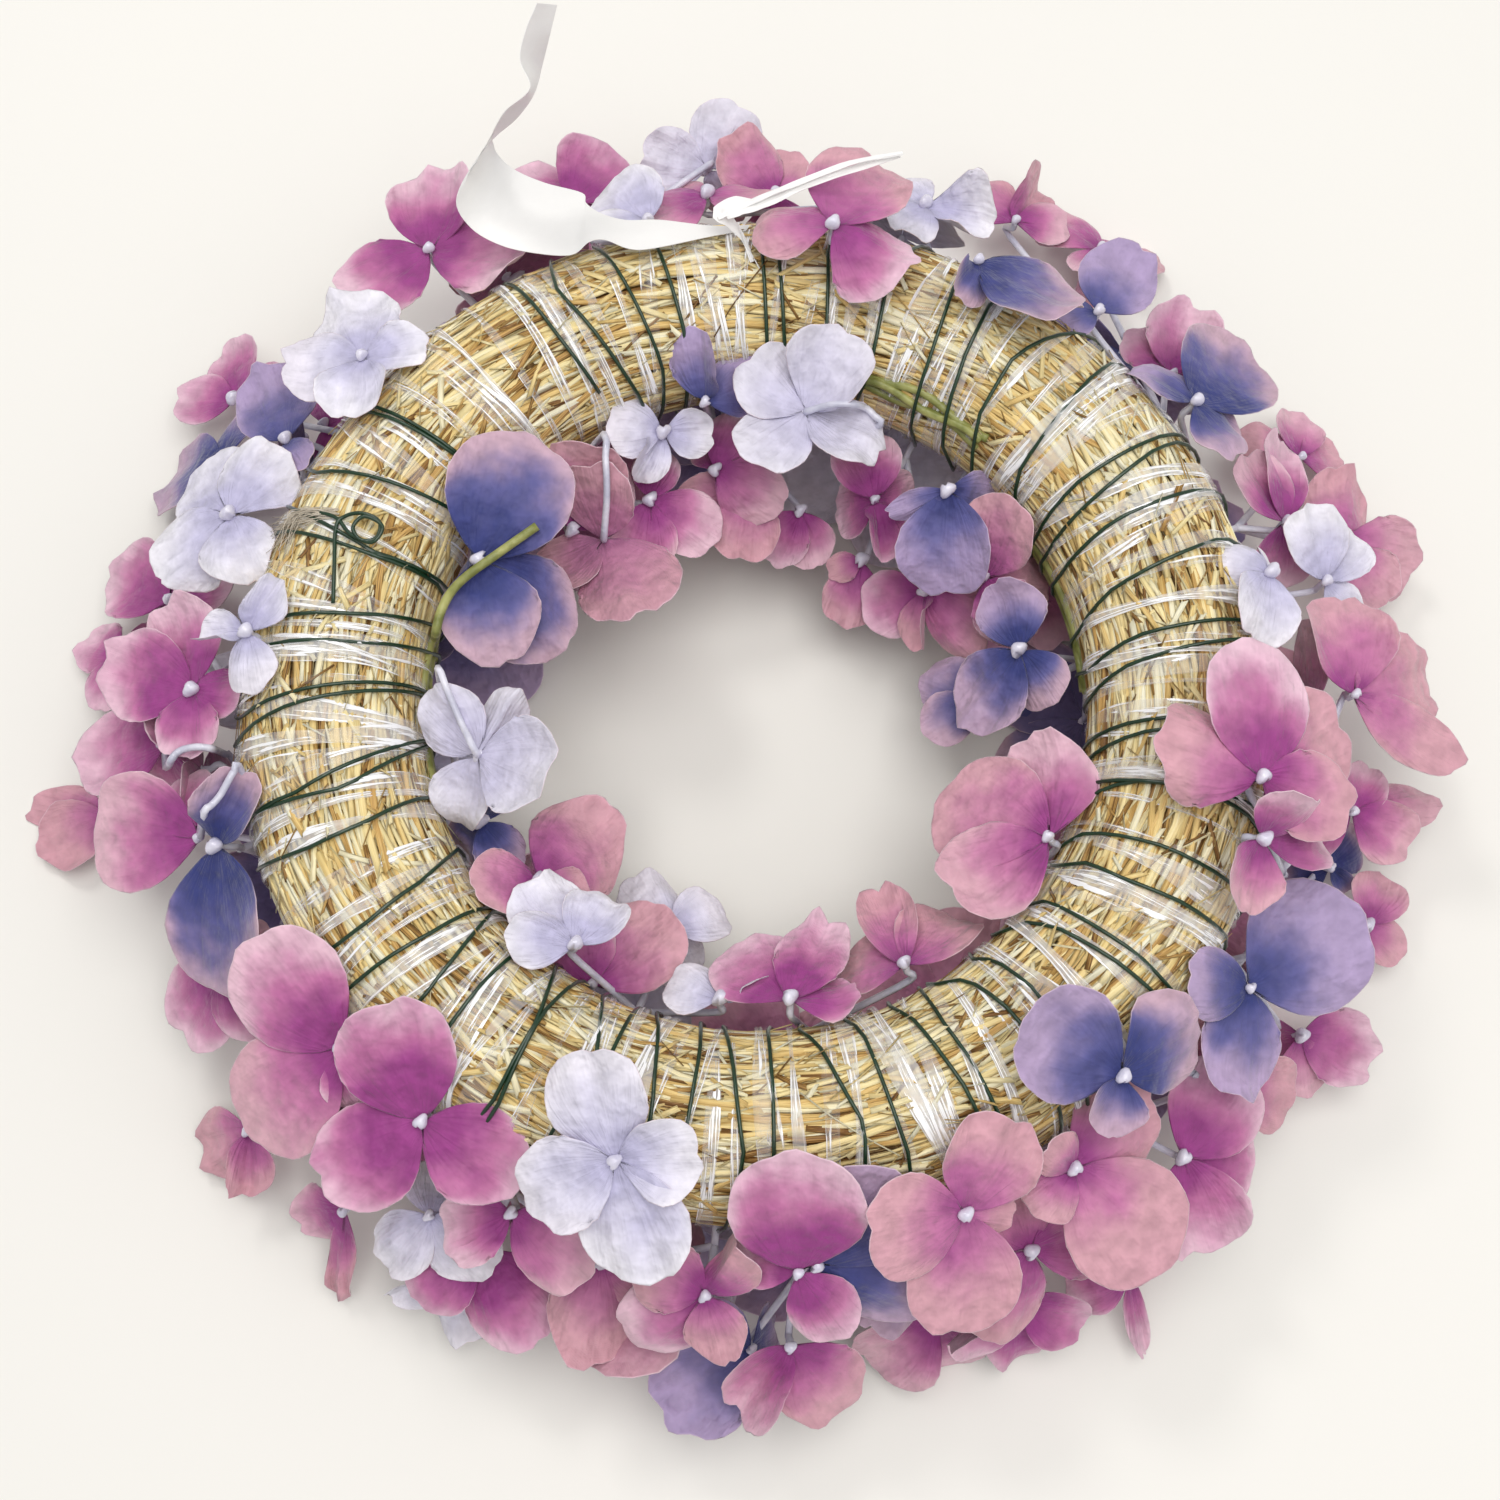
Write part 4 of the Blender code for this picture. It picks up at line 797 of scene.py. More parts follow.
# %% Wire crossings
WIRE_SEEN = [  # column and row of places along each crossing
    ((362, 411), (468, 464)), ((364, 416), (470, 468)), ((322, 478), (470, 523)), ((373, 554), (430, 577)),
    ((371, 557), (430, 582)), ((260, 630), (350, 616), (443, 630)), ((271, 648), (360, 645), (436, 657)),
    ((248, 720), (371, 684), (425, 697)), ((245, 745), (425, 700)),
    ((241, 829), (302, 793), (362, 760), (425, 741)), ((254, 820), (345, 790), (425, 744)),
    ((254, 872), (312, 849), (363, 826), (409, 803), (437, 802)),
    ((335, 950), (368, 925), (419, 885), (451, 853)),
    ((343, 997), (389, 959), (430, 936), (468, 916), (491, 914)), ((423, 1002), (455, 959), (487, 918)),
    ((446, 1034), (483, 985), (519, 954)), ((499, 1094), (537, 1023), (552, 971)),
    ((503, 1099), (541, 1018), (570, 991)), ((596, 1059), (599, 1004)), ((609, 1061), (631, 1019)),
    ((653, 1113), (657, 1039), (653, 1022)), ((686, 1133), (699, 1061), (699, 1032)),
    ((744, 1152), (733, 1072), (722, 1035)), ((774, 1150), (773, 1094), (768, 1039)),
    ((864, 1124), (845, 1094), (820, 1052), (799, 1037)),
    ((908, 1154), (884, 1087), (864, 1039), (845, 1028)),
    ((986, 1137), (964, 1087), (916, 1026), (894, 1015)),
    ((994, 1107), (972, 1064), (946, 1029), (927, 1001)),
    ((1015, 1017), (981, 992), (959, 985), (933, 993)), ((1035, 992), (997, 965), (978, 966)),
    ((1165, 1009), (1147, 989), (1115, 963), (1064, 934), (1032, 927), (1000, 941)),
    ((1176, 1001), (1160, 981), (1134, 954), (1083, 922), (1051, 906), (1032, 911)),
    ((1225, 952), (1220, 936), (1179, 903), (1125, 882), (1090, 867), (1064, 871)),
    ((1240, 904), (1214, 875), (1163, 848), (1109, 837), (1083, 839), (1064, 856)),
    ((1241, 815), (1192, 789), (1147, 784), (1112, 784), (1082, 796)),
    ((1240, 802), (1179, 787), (1131, 784), (1102, 796), (1086, 812)),
    ((1163, 730), (1131, 740), (1106, 753), (1088, 772)),
    ((1169, 720), (1138, 724), (1099, 741), (1090, 754)),
    ((1238, 641), (1189, 648), (1128, 669), (1095, 704)), ((1227, 621), (1138, 638), (1097, 671)),
    ((1217, 541), (1161, 564), (1115, 591), (1084, 643)),
    ((1217, 500), (1192, 494), (1115, 523), (1064, 590)),
    ((1171, 447), (1151, 454), (1077, 518), (1050, 569)),
    ((1181, 444), (1153, 442), (1077, 485), (1033, 556)),
    ((1107, 369), (1084, 386), (1023, 470), (1017, 539)), ((1013, 360), (985, 408), (965, 482), (975, 503)),
    ((989, 307), (964, 360), (950, 419), (949, 476)), ((953, 289), (919, 402), (912, 452)),
    ((902, 263), (888, 279), (873, 363)), ((827, 254), (827, 336)), ((776, 244), (787, 370)),
    ((759, 235), (768, 357)), ((657, 251), (685, 336)), ((596, 254), (661, 362)), ((560, 299), (641, 397)),
    ((506, 291), (560, 341), (602, 397))]
WIRE_KNOT = [  # column, row and how far over the straw, along the wire's twisted end
    (334, 606, 1.9), (336, 570, 2.1), (339, 531, 2.2), (348, 520, 2.4), (364, 518, 3.4), (378, 527, 4.6),
    (374, 543, 4.9), (361, 545, 4.2), (355, 532, 3.4), (366, 522, 4.0), (380, 532, 5.6), (370, 548, 5.0),
    (352, 538, 3.0), (340, 522, 2.0), (322, 516, 1.6), (300, 519, 1.4)]
WIRE_RADIUS = 0.5
OVER_STEMS = 3.2
UNDERSIDE = 200             # from here round the tube the wire runs under the ring, a little looser
GREEN_STEMS = [  # name, place round the tube, from and to in degrees round the ring
    ("green_stem_left", 195, 158, 196), ("green_stem_far", 150, 48, 76),
    ("green_stem_right", 195, 2, 44), ("green_stem_near", 285, 230, 300)]
NEAR_ENDS, NEAR_SIDES = 4, 26       # how far past a plant stem the wire is still raised, in degrees


def near_green(around, section):
    """Whether a plant stem lies under the wire at a place on the tube."""
    return any(start - NEAR_ENDS < around % 360 < end + NEAR_ENDS and abs(section % 360 - place) < NEAR_SIDES
               for _, place, start, end in GREEN_STEMS)


stations = []
last = 150.0
for turn, spots in enumerate(WIRE_SEEN):
    for column, row in spots:
        around, section = on_tube(column, row)
        last += (around - last + 180) % 360 - 180
        stations.append((360 * turn + (section + 90) % 360 - 90, last))
stations.sort()
reach = np.arange(stations[0][0], stations[-1][0], 12.0)
turned = np.interp(reach, [s for s, _ in stations], [a for _, a in stations])
path = []
for k, (section, around) in enumerate(zip(reach, turned)):
    lift = 1.7 + 0.4 * noise("wire", k // 3)
    if near_green(around, section):
        lift = OVER_STEMS
    elif section % 360 > UNDERSIDE:
        lift += 0.6
    path.append(tube_point(around, section, lift))
knot = smooth_path([tube_point(*on_tube(column, row), lift) for column, row, lift in WIRE_KNOT], 5)
cords("wire_winding", [path, knot], WIRE_RADIUS, FINISHES["green_lacquer"], ("green_wire",))
print("wire:", len(WIRE_SEEN), "crossings,", TRIANGLES["wire_winding"], "triangles")

# %% [markdown]
# ## Clear film
# The ring's maker wraps the straw in stretched film to hold it. The film is narrow, so it
# twists into ropes and strips that catch the light as white dashes. One could be a flat
# band, but the real ones are creased along their length. A strip is a grid that is folded
# lengthwise, and its copies are wound round the tube at their own slants.

# %% Film strips
FILM_STRIPS = 118
FILM_WIDTHS = (2.2, 7.5)
FILM_LIFTS = (1.1, 1.9)
MOST_SLANT = 9
FILM_FROM, FILM_WINDS = -150, 400   # where a strip starts round the tube, and how far it is wound


def cut_strip(name, rows, columns):
    """A strip 1 long and 1 wide whose surface is creased along its length."""
    strip = flat_grid(name, rows, columns)
    lines = [[v.index for v in strip.data.vertices if abs(v.co.y + 0.5 - j / columns) < 0.01]
             for j in range(columns + 1)]
    bpy.ops.object.mode_set(mode="EDIT")
    for j, line in enumerate(lines):
        pick(line)
        bpy.ops.transform.translate(value=(0, 0, 0.12 * (j % 2)))
    bpy.ops.object.mode_set(mode="OBJECT")
    return Blank(strip, rim={plan_place(v) for v in strip.data.vertices if abs(v.co.y) > 0.49})


film_strip = cut_strip("film_strip", 44, 4)
heap = Heap()
for k in range(FILM_STRIPS):
    around = 360 * (k + 0.8 * noise("film", k)) / FILM_STRIPS
    width = between(*FILM_WIDTHS, "film w", k)
    slant = between(-MOST_SLANT, MOST_SLANT, "film s", k)
    shares = film_strip.points[:, 0]
    section = FILM_FROM + FILM_WINDS * shares
    pinch = 0.65 + 0.35 * np.sin(7 * shares + 6.28 * noise("pinch", k)) * np.sin(17 * shares + k)
    sway = 1.6 * np.sin(5 * shares + k) + slant * (shares - 0.55)
    across = film_strip.points[:, 1] * width * pinch
    lift = between(*FILM_LIFTS, "film l", k) + 0.35 * np.sin(40 * shares + k)
    lift = lift + film_strip.points[:, 2] * width * 0.5
    angle = around + sway + np.degrees(across / RING_MIDDLE)
    heap.add(film_strip, tube_points(angle, section, lift), noise("film tone", k))
heap.piece("film_wrap", film_finish, "film", ("clear_film",))
print("film:", TRIANGLES["film_wrap"], "triangles")

# %% [markdown]
# ## Label, loose film, plant stems and frayed fibres
# The label is a long strip of coated paper, wrapped over the ring and curled up behind
# it. It is bare here. Two edges are drawn where the picture shows them and the sheet is
# spread between them. The film's loose end is two strips with a small flat blade at their
# start. The main stems of the flowers, light green, run inside the ring under the wire.

# %% Sheets between two edges
def sheet(name, edges, across, thickness, finish, stands_for=(), ripple=0.0):
    """A thin sheet between two smooth edges, given a thickness."""
    one, other = edges
    points, faces = [], []
    for i, (a, b) in enumerate(zip(one, other)):
        for j in range(across + 1):
            spot = a.lerp(b, j / across)
            spot.z += ripple * math.sin(i * 0.9) * math.sin(j * 2.2 + i * 0.25)
            points.append((spot + SHIFT) * MM)
    for i in range(len(one) - 1):
        for j in range(across):
            k = i * (across + 1) + j
            faces.append((k, k + 1, k + across + 2, k + across + 1))
    mesh = bpy.data.meshes.new(name)
    mesh.from_pydata(points, [], faces)
    layer = mesh.uv_layers.new(name="UVMap")
    for loop in mesh.loops:
        i, j = divmod(loop.vertex_index, across + 1)
        layer.data[loop.index].uv = (4 * i / len(one), j / across)
    thing = into_scene(name, mesh)
    thick = thing.modifiers.new("thickness", "SOLIDIFY")
    thick.thickness = thickness * MM
    thick.offset = 0
    bpy.ops.object.modifier_apply(modifier="thickness")
    bpy.ops.object.shade_smooth_by_angle(angle=math.radians(50))
    mesh = thing.data.copy()
    bpy.data.objects.remove(thing)
    return finished(mesh, name, finish, stands_for)


LABEL_STOPS = [  # its far edge and its near edge: column, row and height of each
    ((750, 225, 65.4), (746, 231, 66.2)), ((713, 226, 69.2), (713, 236, 71.4)),
    ((660, 220, 69.6), (655, 248, 75.4)), ((625, 220, 69.0), (630, 249, 75.0)),
    ((600, 213, 67.5), (605, 240, 74.5)), ((586, 203, 66.0), (589, 242, 74.0)),
    ((582, 193, 65.0), (571, 255, 73.0)), ((545, 183, 64.0), (534, 253, 70.0)),
    ((515, 170, 67.0), (500, 245, 69.0)), ((498, 155, 75.0), (471, 228, 71.0)),
    ((493, 143, 85.0), (456, 201, 76.0)), ((492, 137, 95.0), (472, 166, 81.0)),
    ((495, 128, 101.0), (494, 138, 85.0)), ((506, 110, 107.0), (516, 119, 92.0)),
    ((530, 88, 112.0), (534, 94, 96.0)), ((520, 60, 115.0), (543, 62, 104.0)),
    ((525, 32, 118.0), (550, 34, 111.0)), ((537, 3, 121.0), (557, 5, 115.0))]
PAPER_THICK, FILM_THICK = 0.16, 0.14
edges = [smooth_path([seen_at(*stop[side]) for stop in LABEL_STOPS], 6) for side in (0, 1)]
sheet("label_sheet", edges, 4, PAPER_THICK, FINISHES["blank_paper"], ("label_strip",))

TAIL_STOPS = [  # column, row, height and width of the film's loose end
    (752, 262, 71.6, 1.0), (744, 240, 73.0, 1.1), (730, 222, 76.5, 3.0), (722, 213, 78.5, 5.2),
    (738, 206, 79.5, 5.4), (762, 204, 79.6, 2.6), (800, 187, 82.0, 2.2), (850, 170, 84.0, 1.9),
    (900, 155, 85.0, 1.6)]
SECOND_STRIP = [  # the same for the thinner strip beside it
    (718, 218, 78.5, 1.2), (760, 198, 80.5, 1.4), (800, 182, 83.0, 1.5), (850, 163, 85.5, 1.4),
    (903, 153, 86.0, 1.0)]
FILM_THREAD = [(738, 222, 77), (744, 240, 73.5), (756, 262, 71.8), (765, 279, 71.4)]
LOOSE_ENDS = [("loose_film", TAIL_STOPS, ("film_tail",)), ("loose_film_second", SECOND_STRIP, ())]
for name, stops, stands_for in LOOSE_ENDS:
    middle = smooth_path([seen_at(*stop[:3]) for stop in stops], 6)
    places = np.linspace(0, len(stops) - 1, len(middle))
    widths = np.interp(places, range(len(stops)), [stop[3] for stop in stops])
    edges = [[], []]
    for k, point in enumerate(middle):
        ahead = (middle[min(k + 1, len(middle) - 1)] - middle[max(k - 1, 0)]).normalized()
        side = Vector((0, 0, 1)).cross(ahead).normalized() * (widths[k] / 2)
        edges[0].append(point - side)
        edges[1].append(point + side)
    sheet(name, edges, 4, FILM_THICK, FINISHES["blank_paper"], stands_for, 0.25)
thread = smooth_path([seen_at(*stop) for stop in FILM_THREAD], 5)
cords("film_thread", [thread], 0.16, FINISHES["blank_paper"])
print("sheets:", TRIANGLES["label_sheet"], TRIANGLES["loose_film"], TRIANGLES["loose_film_second"])

# %% [markdown]
# ### Plant stems and frayed fibres
# A main stem of green plastic is moulded as a bundle of two or three strands that sway
# beside each other. Each strand could be bent by hand, but a slow wave along the tube
# gives the same line. The frayed fibres are a tuft of fine threads beside the wire's end.

# %% Plant stems and frayed fibres
GREEN_RADIUS = 1.15
LEFT_STRANDS = [(-21, 1.3), (-9, 1.2)]  # degrees beside the stem's place, and how far over the straw
STRANDS = [(-4.5, 1.2), (4.5, 1.0), (0.5, 1.9)]
STOPS = 15
LEFT_STARTS = 3             # the first strand on the left starts this many stops later
FIBRES = 60

for name, place, start, end in GREEN_STEMS:
    strands = []
    left = name.endswith("left")
    for s, (aside, low) in enumerate(LEFT_STRANDS if left else STRANDS):
        strand = []
        for k in range(STOPS):
            share = k / (STOPS - 1)
            around = start + (end - start) * share + 2.0 * s * (noise("strand", name, s) - 0.5)
            wave = 2.5 * math.sin(0.7 * k + 2 * s)
            strand.append(tube_point(around, place + aside + wave, low))
        strands.append(smooth_path(strand[LEFT_STARTS:] if left and s == 0 else strand, 3))
    cords(name + "_strands", strands, GREEN_RADIUS, FINISHES["green_plastic"], (name,), 2)

tuft = []
for k in range(FIBRES):
    start = on_tube(334 + 8 * noise("ta", k), 510 + 10 * noise("tb", k))
    middle = on_tube(300 + 14 * noise("tc", k), 512 + 18 * noise("td", k))
    end = on_tube(250 + 46 * noise("te", k), 520 + 44 * noise("tf", k))
    tuft.append(smooth_path([tube_point(*start, 1.2), tube_point(*middle, between(1.2, 3.5, "tg", k)),
                             tube_point(*end, between(0.6, 4, "th", k))], 4))
cords("frayed_tuft", tuft, 0.09, FINISHES["frayed_fibre"], (), 0)
made = [TRIANGLES[name + "_strands"] for name, *_ in GREEN_STEMS]
print("stems and fibres:", made, TRIANGLES["frayed_tuft"])

# %% [markdown]
# ## Where the florets stand
# The CAD model places 133 florets by rules: each floret that is seen starts on its
# line of sight, and is moved until it stands clear of all the others. The same table and
# the same rules are used here. Each floret's own place is then read back from the corners
# of its CAD spray, so that the fine petals lie where the solid ones do.

# %% The florets' table
BLADE = 1.0
BUD_HEIGHT = 2.8
STEM_BEND = 6.0
STALK = 8.0
FOOT_GAP = 0.45
STALK_RADIUS = 1.5
WIRE_TURNS = 33
WIRE_START = 163.0

# Each spray: colour, then its florets. A floret: column and row of its bud in the
# picture, how far it lies behind its neighbours, its petals as (direction in plan,
# length), and where it isn't the usual, the lean of its face from straight up.
SPRAYS = [
    ("mauve", [(430, 250, -6, ((90, 25), (213, 26), (352, 29))),
               (572, 205, 14, ((140, 24), (60, 21), (230, 20)))]),
    ("lilac", [(648, 222, 0, ((120, 22), (200, 14))),
               (707, 170, 4, ((65, 20), (165, 18), (300, 14)), 160)]),
    ("lilac", [(363, 357, 0, ((113, 25), (185, 20), (8, 16), (268, 18)))]),
    ("mauve", [(235, 400, 8, ((100, 20), (170, 18), (30, 18))),
               (325, 425, 10, ((80, 20), (0, 18), (300, 18)))]),
    ("blue", [(287, 440, 4, ((115, 25), (300, 18))), (222, 462, 10, ((172, 27), (100, 20)))]),
    ("lilac", [(230, 515, -2, ((127, 24), (62, 22), (212, 24), (290, 20)))]),
    ("lilac", [(247, 632, 0, ((180, 14), (62, 15), (277, 15)))]),
    ("mauve", [(193, 690, 2, ((111, 25), (163, 26), (355, 15), (268, 17))),
               (170, 600, 14, ((150, 24), (20, 20), (80, 20))),
               (120, 655, 12, ((155, 16), (250, 16)))]),
    ("mauve", [(200, 838, 5, ((174, 31), (120, 20))), (165, 745, 8, ((178, 26), (95, 16))),
               (108, 815, 18, ((174, 25), (205, 20)))]),
    ("blue", [(217, 846, 0, ((265, 35), (57, 20)))]),
    ("mauve", [(340, 1048, 0, ((130, 32), (217, 33), (284, 15))), (222, 965, 12, ((222, 25), (300, 20)))]),
    ("mauve", [(422, 1121, 0, ((104, 29), (213, 27), (330, 27))), (345, 1210, 16, ((253, 24), (200, 16))),
               (250, 1130, 16, ((205, 20), (262, 16)))]),
    ("lilac", [(430, 1215, 10, ((225, 18), (318, 20))), (450, 1275, 20, ((280, 18), (200, 16)))]),
    ("mauve", [(512, 1212, 6, ((322, 23), (200, 18))), (478, 1250, 12, ((300, 26), (215, 20))),
               (600, 1262, 8, ((262, 24), (345, 18)))]),
    ("lilac", [(615, 1160, 0, ((103, 25), (6, 19), (282, 28), (206, 23)))]),
    ("mauve", [(705, 1295, 0, ((64, 32), (150, 17), (215, 22), (285, 16)))]),
    ("blue", [(817, 1264, 0, ((56, 34), (345, 28))), (752, 1348, 14, ((217, 26), (150, 16))),
              (925, 1262, 14, ((240, 20), (300, 16)))]),
    ("mauve", [(798, 1272, 4, ((92, 31), (300, 27), (160, 16))), (790, 1345, 14, ((300, 24), (240, 20)))]),
    ("mauve", [(965, 1213, 0, ((72, 24), (185, 24), (273, 28), (350, 12))),
               (935, 1315, 14, ((290, 22), (230, 22)))]),
    ("mauve", [(1030, 1250, 6, ((250, 24), (15, 22), (120, 20))),
               (1020, 1305, 16, ((285, 22), (205, 20), (335, 18))),
               (1130, 1275, 16, ((285, 19), (200, 16)))]),
    ("mauve", [(1074, 1168, 0, ((315, 32), (38, 25), (140, 23), (225, 14)))]),
    ("mauve", [(1182, 1157, 2, ((352, 22), (54, 26), (287, 24))),
               (1235, 1085, 12, ((345, 20), (60, 18), (110, 20)))]),
    ("blue", [(1122, 1075, 0, ((150, 28), (24, 26), (260, 14)))]),
    ("blue", [(1249, 988, 0, ((31, 36), (262, 25), (175, 18))), (1345, 868, 18, ((40, 16), (320, 14)))]),
    ("mauve", [(1300, 1035, 16, ((345, 22), (285, 16))), (1365, 925, 16, ((20, 16), (62, 15), (330, 14)))]),
    ("mauve", [(1262, 838, 4, ((22, 26), (78, 16), (250, 18))),
               (1352, 812, 10, ((8, 25), (330, 18), (62, 14)))]),
    ("mauve", [(1261, 777, 0, ((92, 32), (158, 26), (28, 30), (345, 24))),
               (1354, 695, 0, ((95, 26), (18, 29), (332, 30)))]),
    ("lilac", [(1270, 572, 0, ((248, 20), (168, 13))), (1325, 582, 4, ((112, 20), (60, 20), (318, 15)))]),
    ("mauve", [(1285, 522, 6, ((120, 20), (84, 24))), (1340, 545, 12, ((75, 24), (345, 22), (300, 20))),
               (1300, 458, 14, ((85, 16), (18, 17), (165, 18)))]),
    ("blue", [(1195, 402, 0, ((150, 18), (46, 31), (302, 18), (340, 26))),
               (1098, 312, 4, ((60, 24), (200, 12)))]),
    ("blue", [(978, 262, 0, ((330, 28), (240, 13)))]),
    ("mauve", [(1172, 375, 10, ((110, 25), (70, 22), (35, 18))),
               (1100, 250, 10, ((125, 20), (28, 23), (240, 15))),
               (1015, 222, 12, ((62, 19), (130, 18), (5, 16)))]),
    ("mauve", [(833, 225, 0, ((65, 28), (172, 20), (325, 22))), (775, 195, 10, ((130, 20), (80, 16))),
               (707, 195, 6, ((210, 24), (150, 15), (342, 20)))]),
    ("lilac", [(925, 205, 2, ((342, 19), (236, 18), (112, 16)))]),
    ("blue", [(478, 560, 0, ((68, 33), (284, 26), (318, 30)))]),
    ("mauve", [(604, 540, 4, ((216, 27), (299, 29)), 158), (572, 530, 12, ((88, 24), (60, 22))),
               (650, 500, 8, ((262, 20), (330, 20), (80, 14)))]),
    ("blue", [(705, 402, 4, ((95, 18), (28, 17)))]),
    ("lilac", [(806, 412, -2, ((142, 20), (51, 22), (228, 22), (328, 21)), 165),
               (663, 416, 2, ((177, 17), (355, 13), (240, 14)))]),
    ("mauve", [(715, 470, 10, ((100, 20), (60, 18), (330, 20))), (750, 490, 12, ((262, 19), (205, 20))),
               (800, 510, 14, ((280, 18), (240, 16)))]),
    ("mauve", [(875, 500, 6, ((100, 18), (275, 17))), (862, 560, 14, ((252, 18), (200, 16))),
               (925, 590, 12, ((200, 18), (320, 22), (262, 16)))]),
    ("blue", [(948, 490, 0, ((263, 27), (200, 15)))]),
    ("mauve", [(985, 578, 4, ((62, 22), (300, 18)))]),
    ("blue", [(1020, 650, 4, ((98, 18), (222, 24), (300, 16))), (978, 700, 12, ((150, 18), (205, 16)))]),
    ("mauve", [(1049, 838, 0, ((205, 27), (150, 31), (98, 27)))]),
    ("mauve", [(790, 1000, 0, ((120, 28), (74, 26), (20, 16))),
               (905, 965, 4, ((58, 23), (108, 24), (155, 20)))]),
    ("lilac", [(670, 930, 10, ((115, 19), (30, 16), (220, 16))), (720, 1000, 6, ((150, 14), (30, 14))),
               (575, 945, 8, ((120, 20), (172, 16), (60, 16)))]),
    ("mauve", [(538, 879, 0, ((47, 29), (198, 18), (335, 14))), (592, 985, 6, ((46, 26), (105, 18)))]),
    ("blue", [(480, 822, 8, ((232, 15), (310, 14)))]),
    ("lilac", [(478, 755, 0, ((128, 20), (56, 18), (243, 19), (344, 23)), 160)]),
]
# Florets that are not seen from above: how far from the hole's middle and how high their buds
# stand, how they lean, how many go round the wreath, and their petals' number and least length
HIDDEN_ROWS = [(121.0, 3.1, 174, 17, 4, 27), (88.0, 3.1, 174, 12, 4, 27), (140.0, 33.0, 100, 10, 3, 24)]
CROWDED = 15.0              # each floret that a spray was given makes it count as this much further off
FACE_UP_LEAN = 22.0
SEEN_TABLE = 1.2            # the lowest that seen florets reach: those on the face carry the wreath
TABLE_STEP = 0.3            # each further floret of a spray stays this much higher
UPRIGHT_FACE = 0.5          # a floret that faces sideways has its petals turned in its own plane
SIDE_TOP = 66.0             # height of a floret's bud beside the ring
LOWEST_BUD = 7.0
HEIGHT_STEPS = 6            # how often the height over the table is worked out anew
LIFT_CHANGES = (0, 10, -10, 20, -20, 32, -32, 46, -46, 62, -62)     # degrees, in the order they are tried
MOVES = (0, 3, -3, 6, -6, 10, -10, 14, -14, 18, -18, 23)            # mm along the line of sight
MOVE_ASIDE = 4              # mm across it
OUTSIDE_SEATS = (345, 358, 12, 315, 300)    # degrees round the tube where a stalk may stand
INSIDE_SEATS = (215, 200, 175, 235, 250)

# %% [markdown]
# ### The rules
# A maker pushes flowers in where there is room, with their faces turned outwards. The
# rules do the same: they say how high a bud stands over the table, which way its face
# leans, and which ways its petals may lie when the first one is taken.

# %% Rules of placing
def resting_height(place, behind):
    """Height of a floret's bud: beside the ring near its top, lower the further out it reaches."""
    reach = math.hypot(place.x, place.y)
    if reach > RING_MIDDLE:
        height = SIDE_TOP - 0.95 * max(0.0, reach - RING_OUTER - 1)
    else:
        height = SIDE_TOP - 3 - 0.85 * max(0.0, RING_MIDDLE - TUBE - 3 - reach)
    return max(LOWEST_BUD, height - behind)


def hub_of(column, row, behind):
    """The bud's place, found on the line of sight at the height that suits its reach."""
    height = SIDE_TOP
    for _ in range(HEIGHT_STEPS):
        place = seen_at(column, row, height)
        height = resting_height(place, behind)
    return seen_at(column, row, height)


def leaning(direction, degrees):
    """A unit vector that leans from straight up towards a plan direction."""
    lean = math.radians(degrees)
    flat = Vector((direction.x, direction.y, 0)).normalized()
    return flat * math.sin(lean) + Vector((0, 0, math.cos(lean)))


def florets_of(members):
    """The florets of a spray as (hub, face direction, petals)."""
    florets = []
    for member in members:
        column, row, behind, petals = member[:4]
        hub = hub_of(column, row, behind)
        away = Vector((hub.x, hub.y, 0))
        if away.length < RING_MIDDLE:
            away = -away
        degrees = member[4] if len(member) > 4 else FACE_UP_LEAN * (0.5 + noise("lean", column))
        florets.append((hub, leaning(away, degrees), petals))
    return florets


def hidden_florets():
    """Evenly spread florets on the wreath's face and low side, each given to the nearest spray."""
    places = [[hub_of(*member[:3]) for member in members] for _, members in SPRAYS]
    given = {}

    def distance(i):
        nearest = min((place.xy - hub.xy).length for place in places[i])
        return nearest + CROWDED * len(given.get(i, []))

    for row, (reach, height, lean, count, petal_count, least) in enumerate(HIDDEN_ROWS):
        outside = reach > RING_MIDDLE
        beside = [i for i, hubs in enumerate(places) if (hubs[0].xy.length > RING_MIDDLE) == outside]
        for k in range(count):
            turn = 2 * math.pi * (k + 0.3 * noise("row", row, k)) / count
            hub = Vector((reach * math.cos(turn), reach * math.sin(turn), height))
            index = min(beside, key=distance)
            first = 360 * noise("turn", row, k)
            petals = tuple((first + 360 * p / petal_count, least + 4 * noise("front", row, k, p))
                           for p in range(petal_count))
            given.setdefault(index, []).append((hub, leaning(hub, lean), petals))
    return given


def petal_choices(key, p, hub, normal, direction, length):
    """The petal's frame and size, and its shapes in the order they are tried."""
    turn = math.radians(direction)
    if abs(normal.z) > UPRIGHT_FACE:
        plan = Vector((math.cos(turn), math.sin(turn), 0))
        forward = (plan - normal * plan.dot(normal)).normalized()
    else:
        level = Vector((-normal.y, normal.x, 0)).normalized()
        forward = level * math.cos(turn) + normal.cross(level) * math.sin(turn)
    across = normal.cross(forward)
    width = length * (0.86 + 0.12 * noise("width", *key, p))
    bend = math.radians(-14 + 34 * (noise("bend", *key, p) - 0.5))
    fold = 0.5 * (noise("fold", *key, p) - 0.6)
    first = 12 * (noise("lift", *key, p) - 0.3)
    shapes = [(math.radians(first + change), bend, fold) for change in LIFT_CHANGES]
    return (hub, forward, across, normal), (length, width), shapes


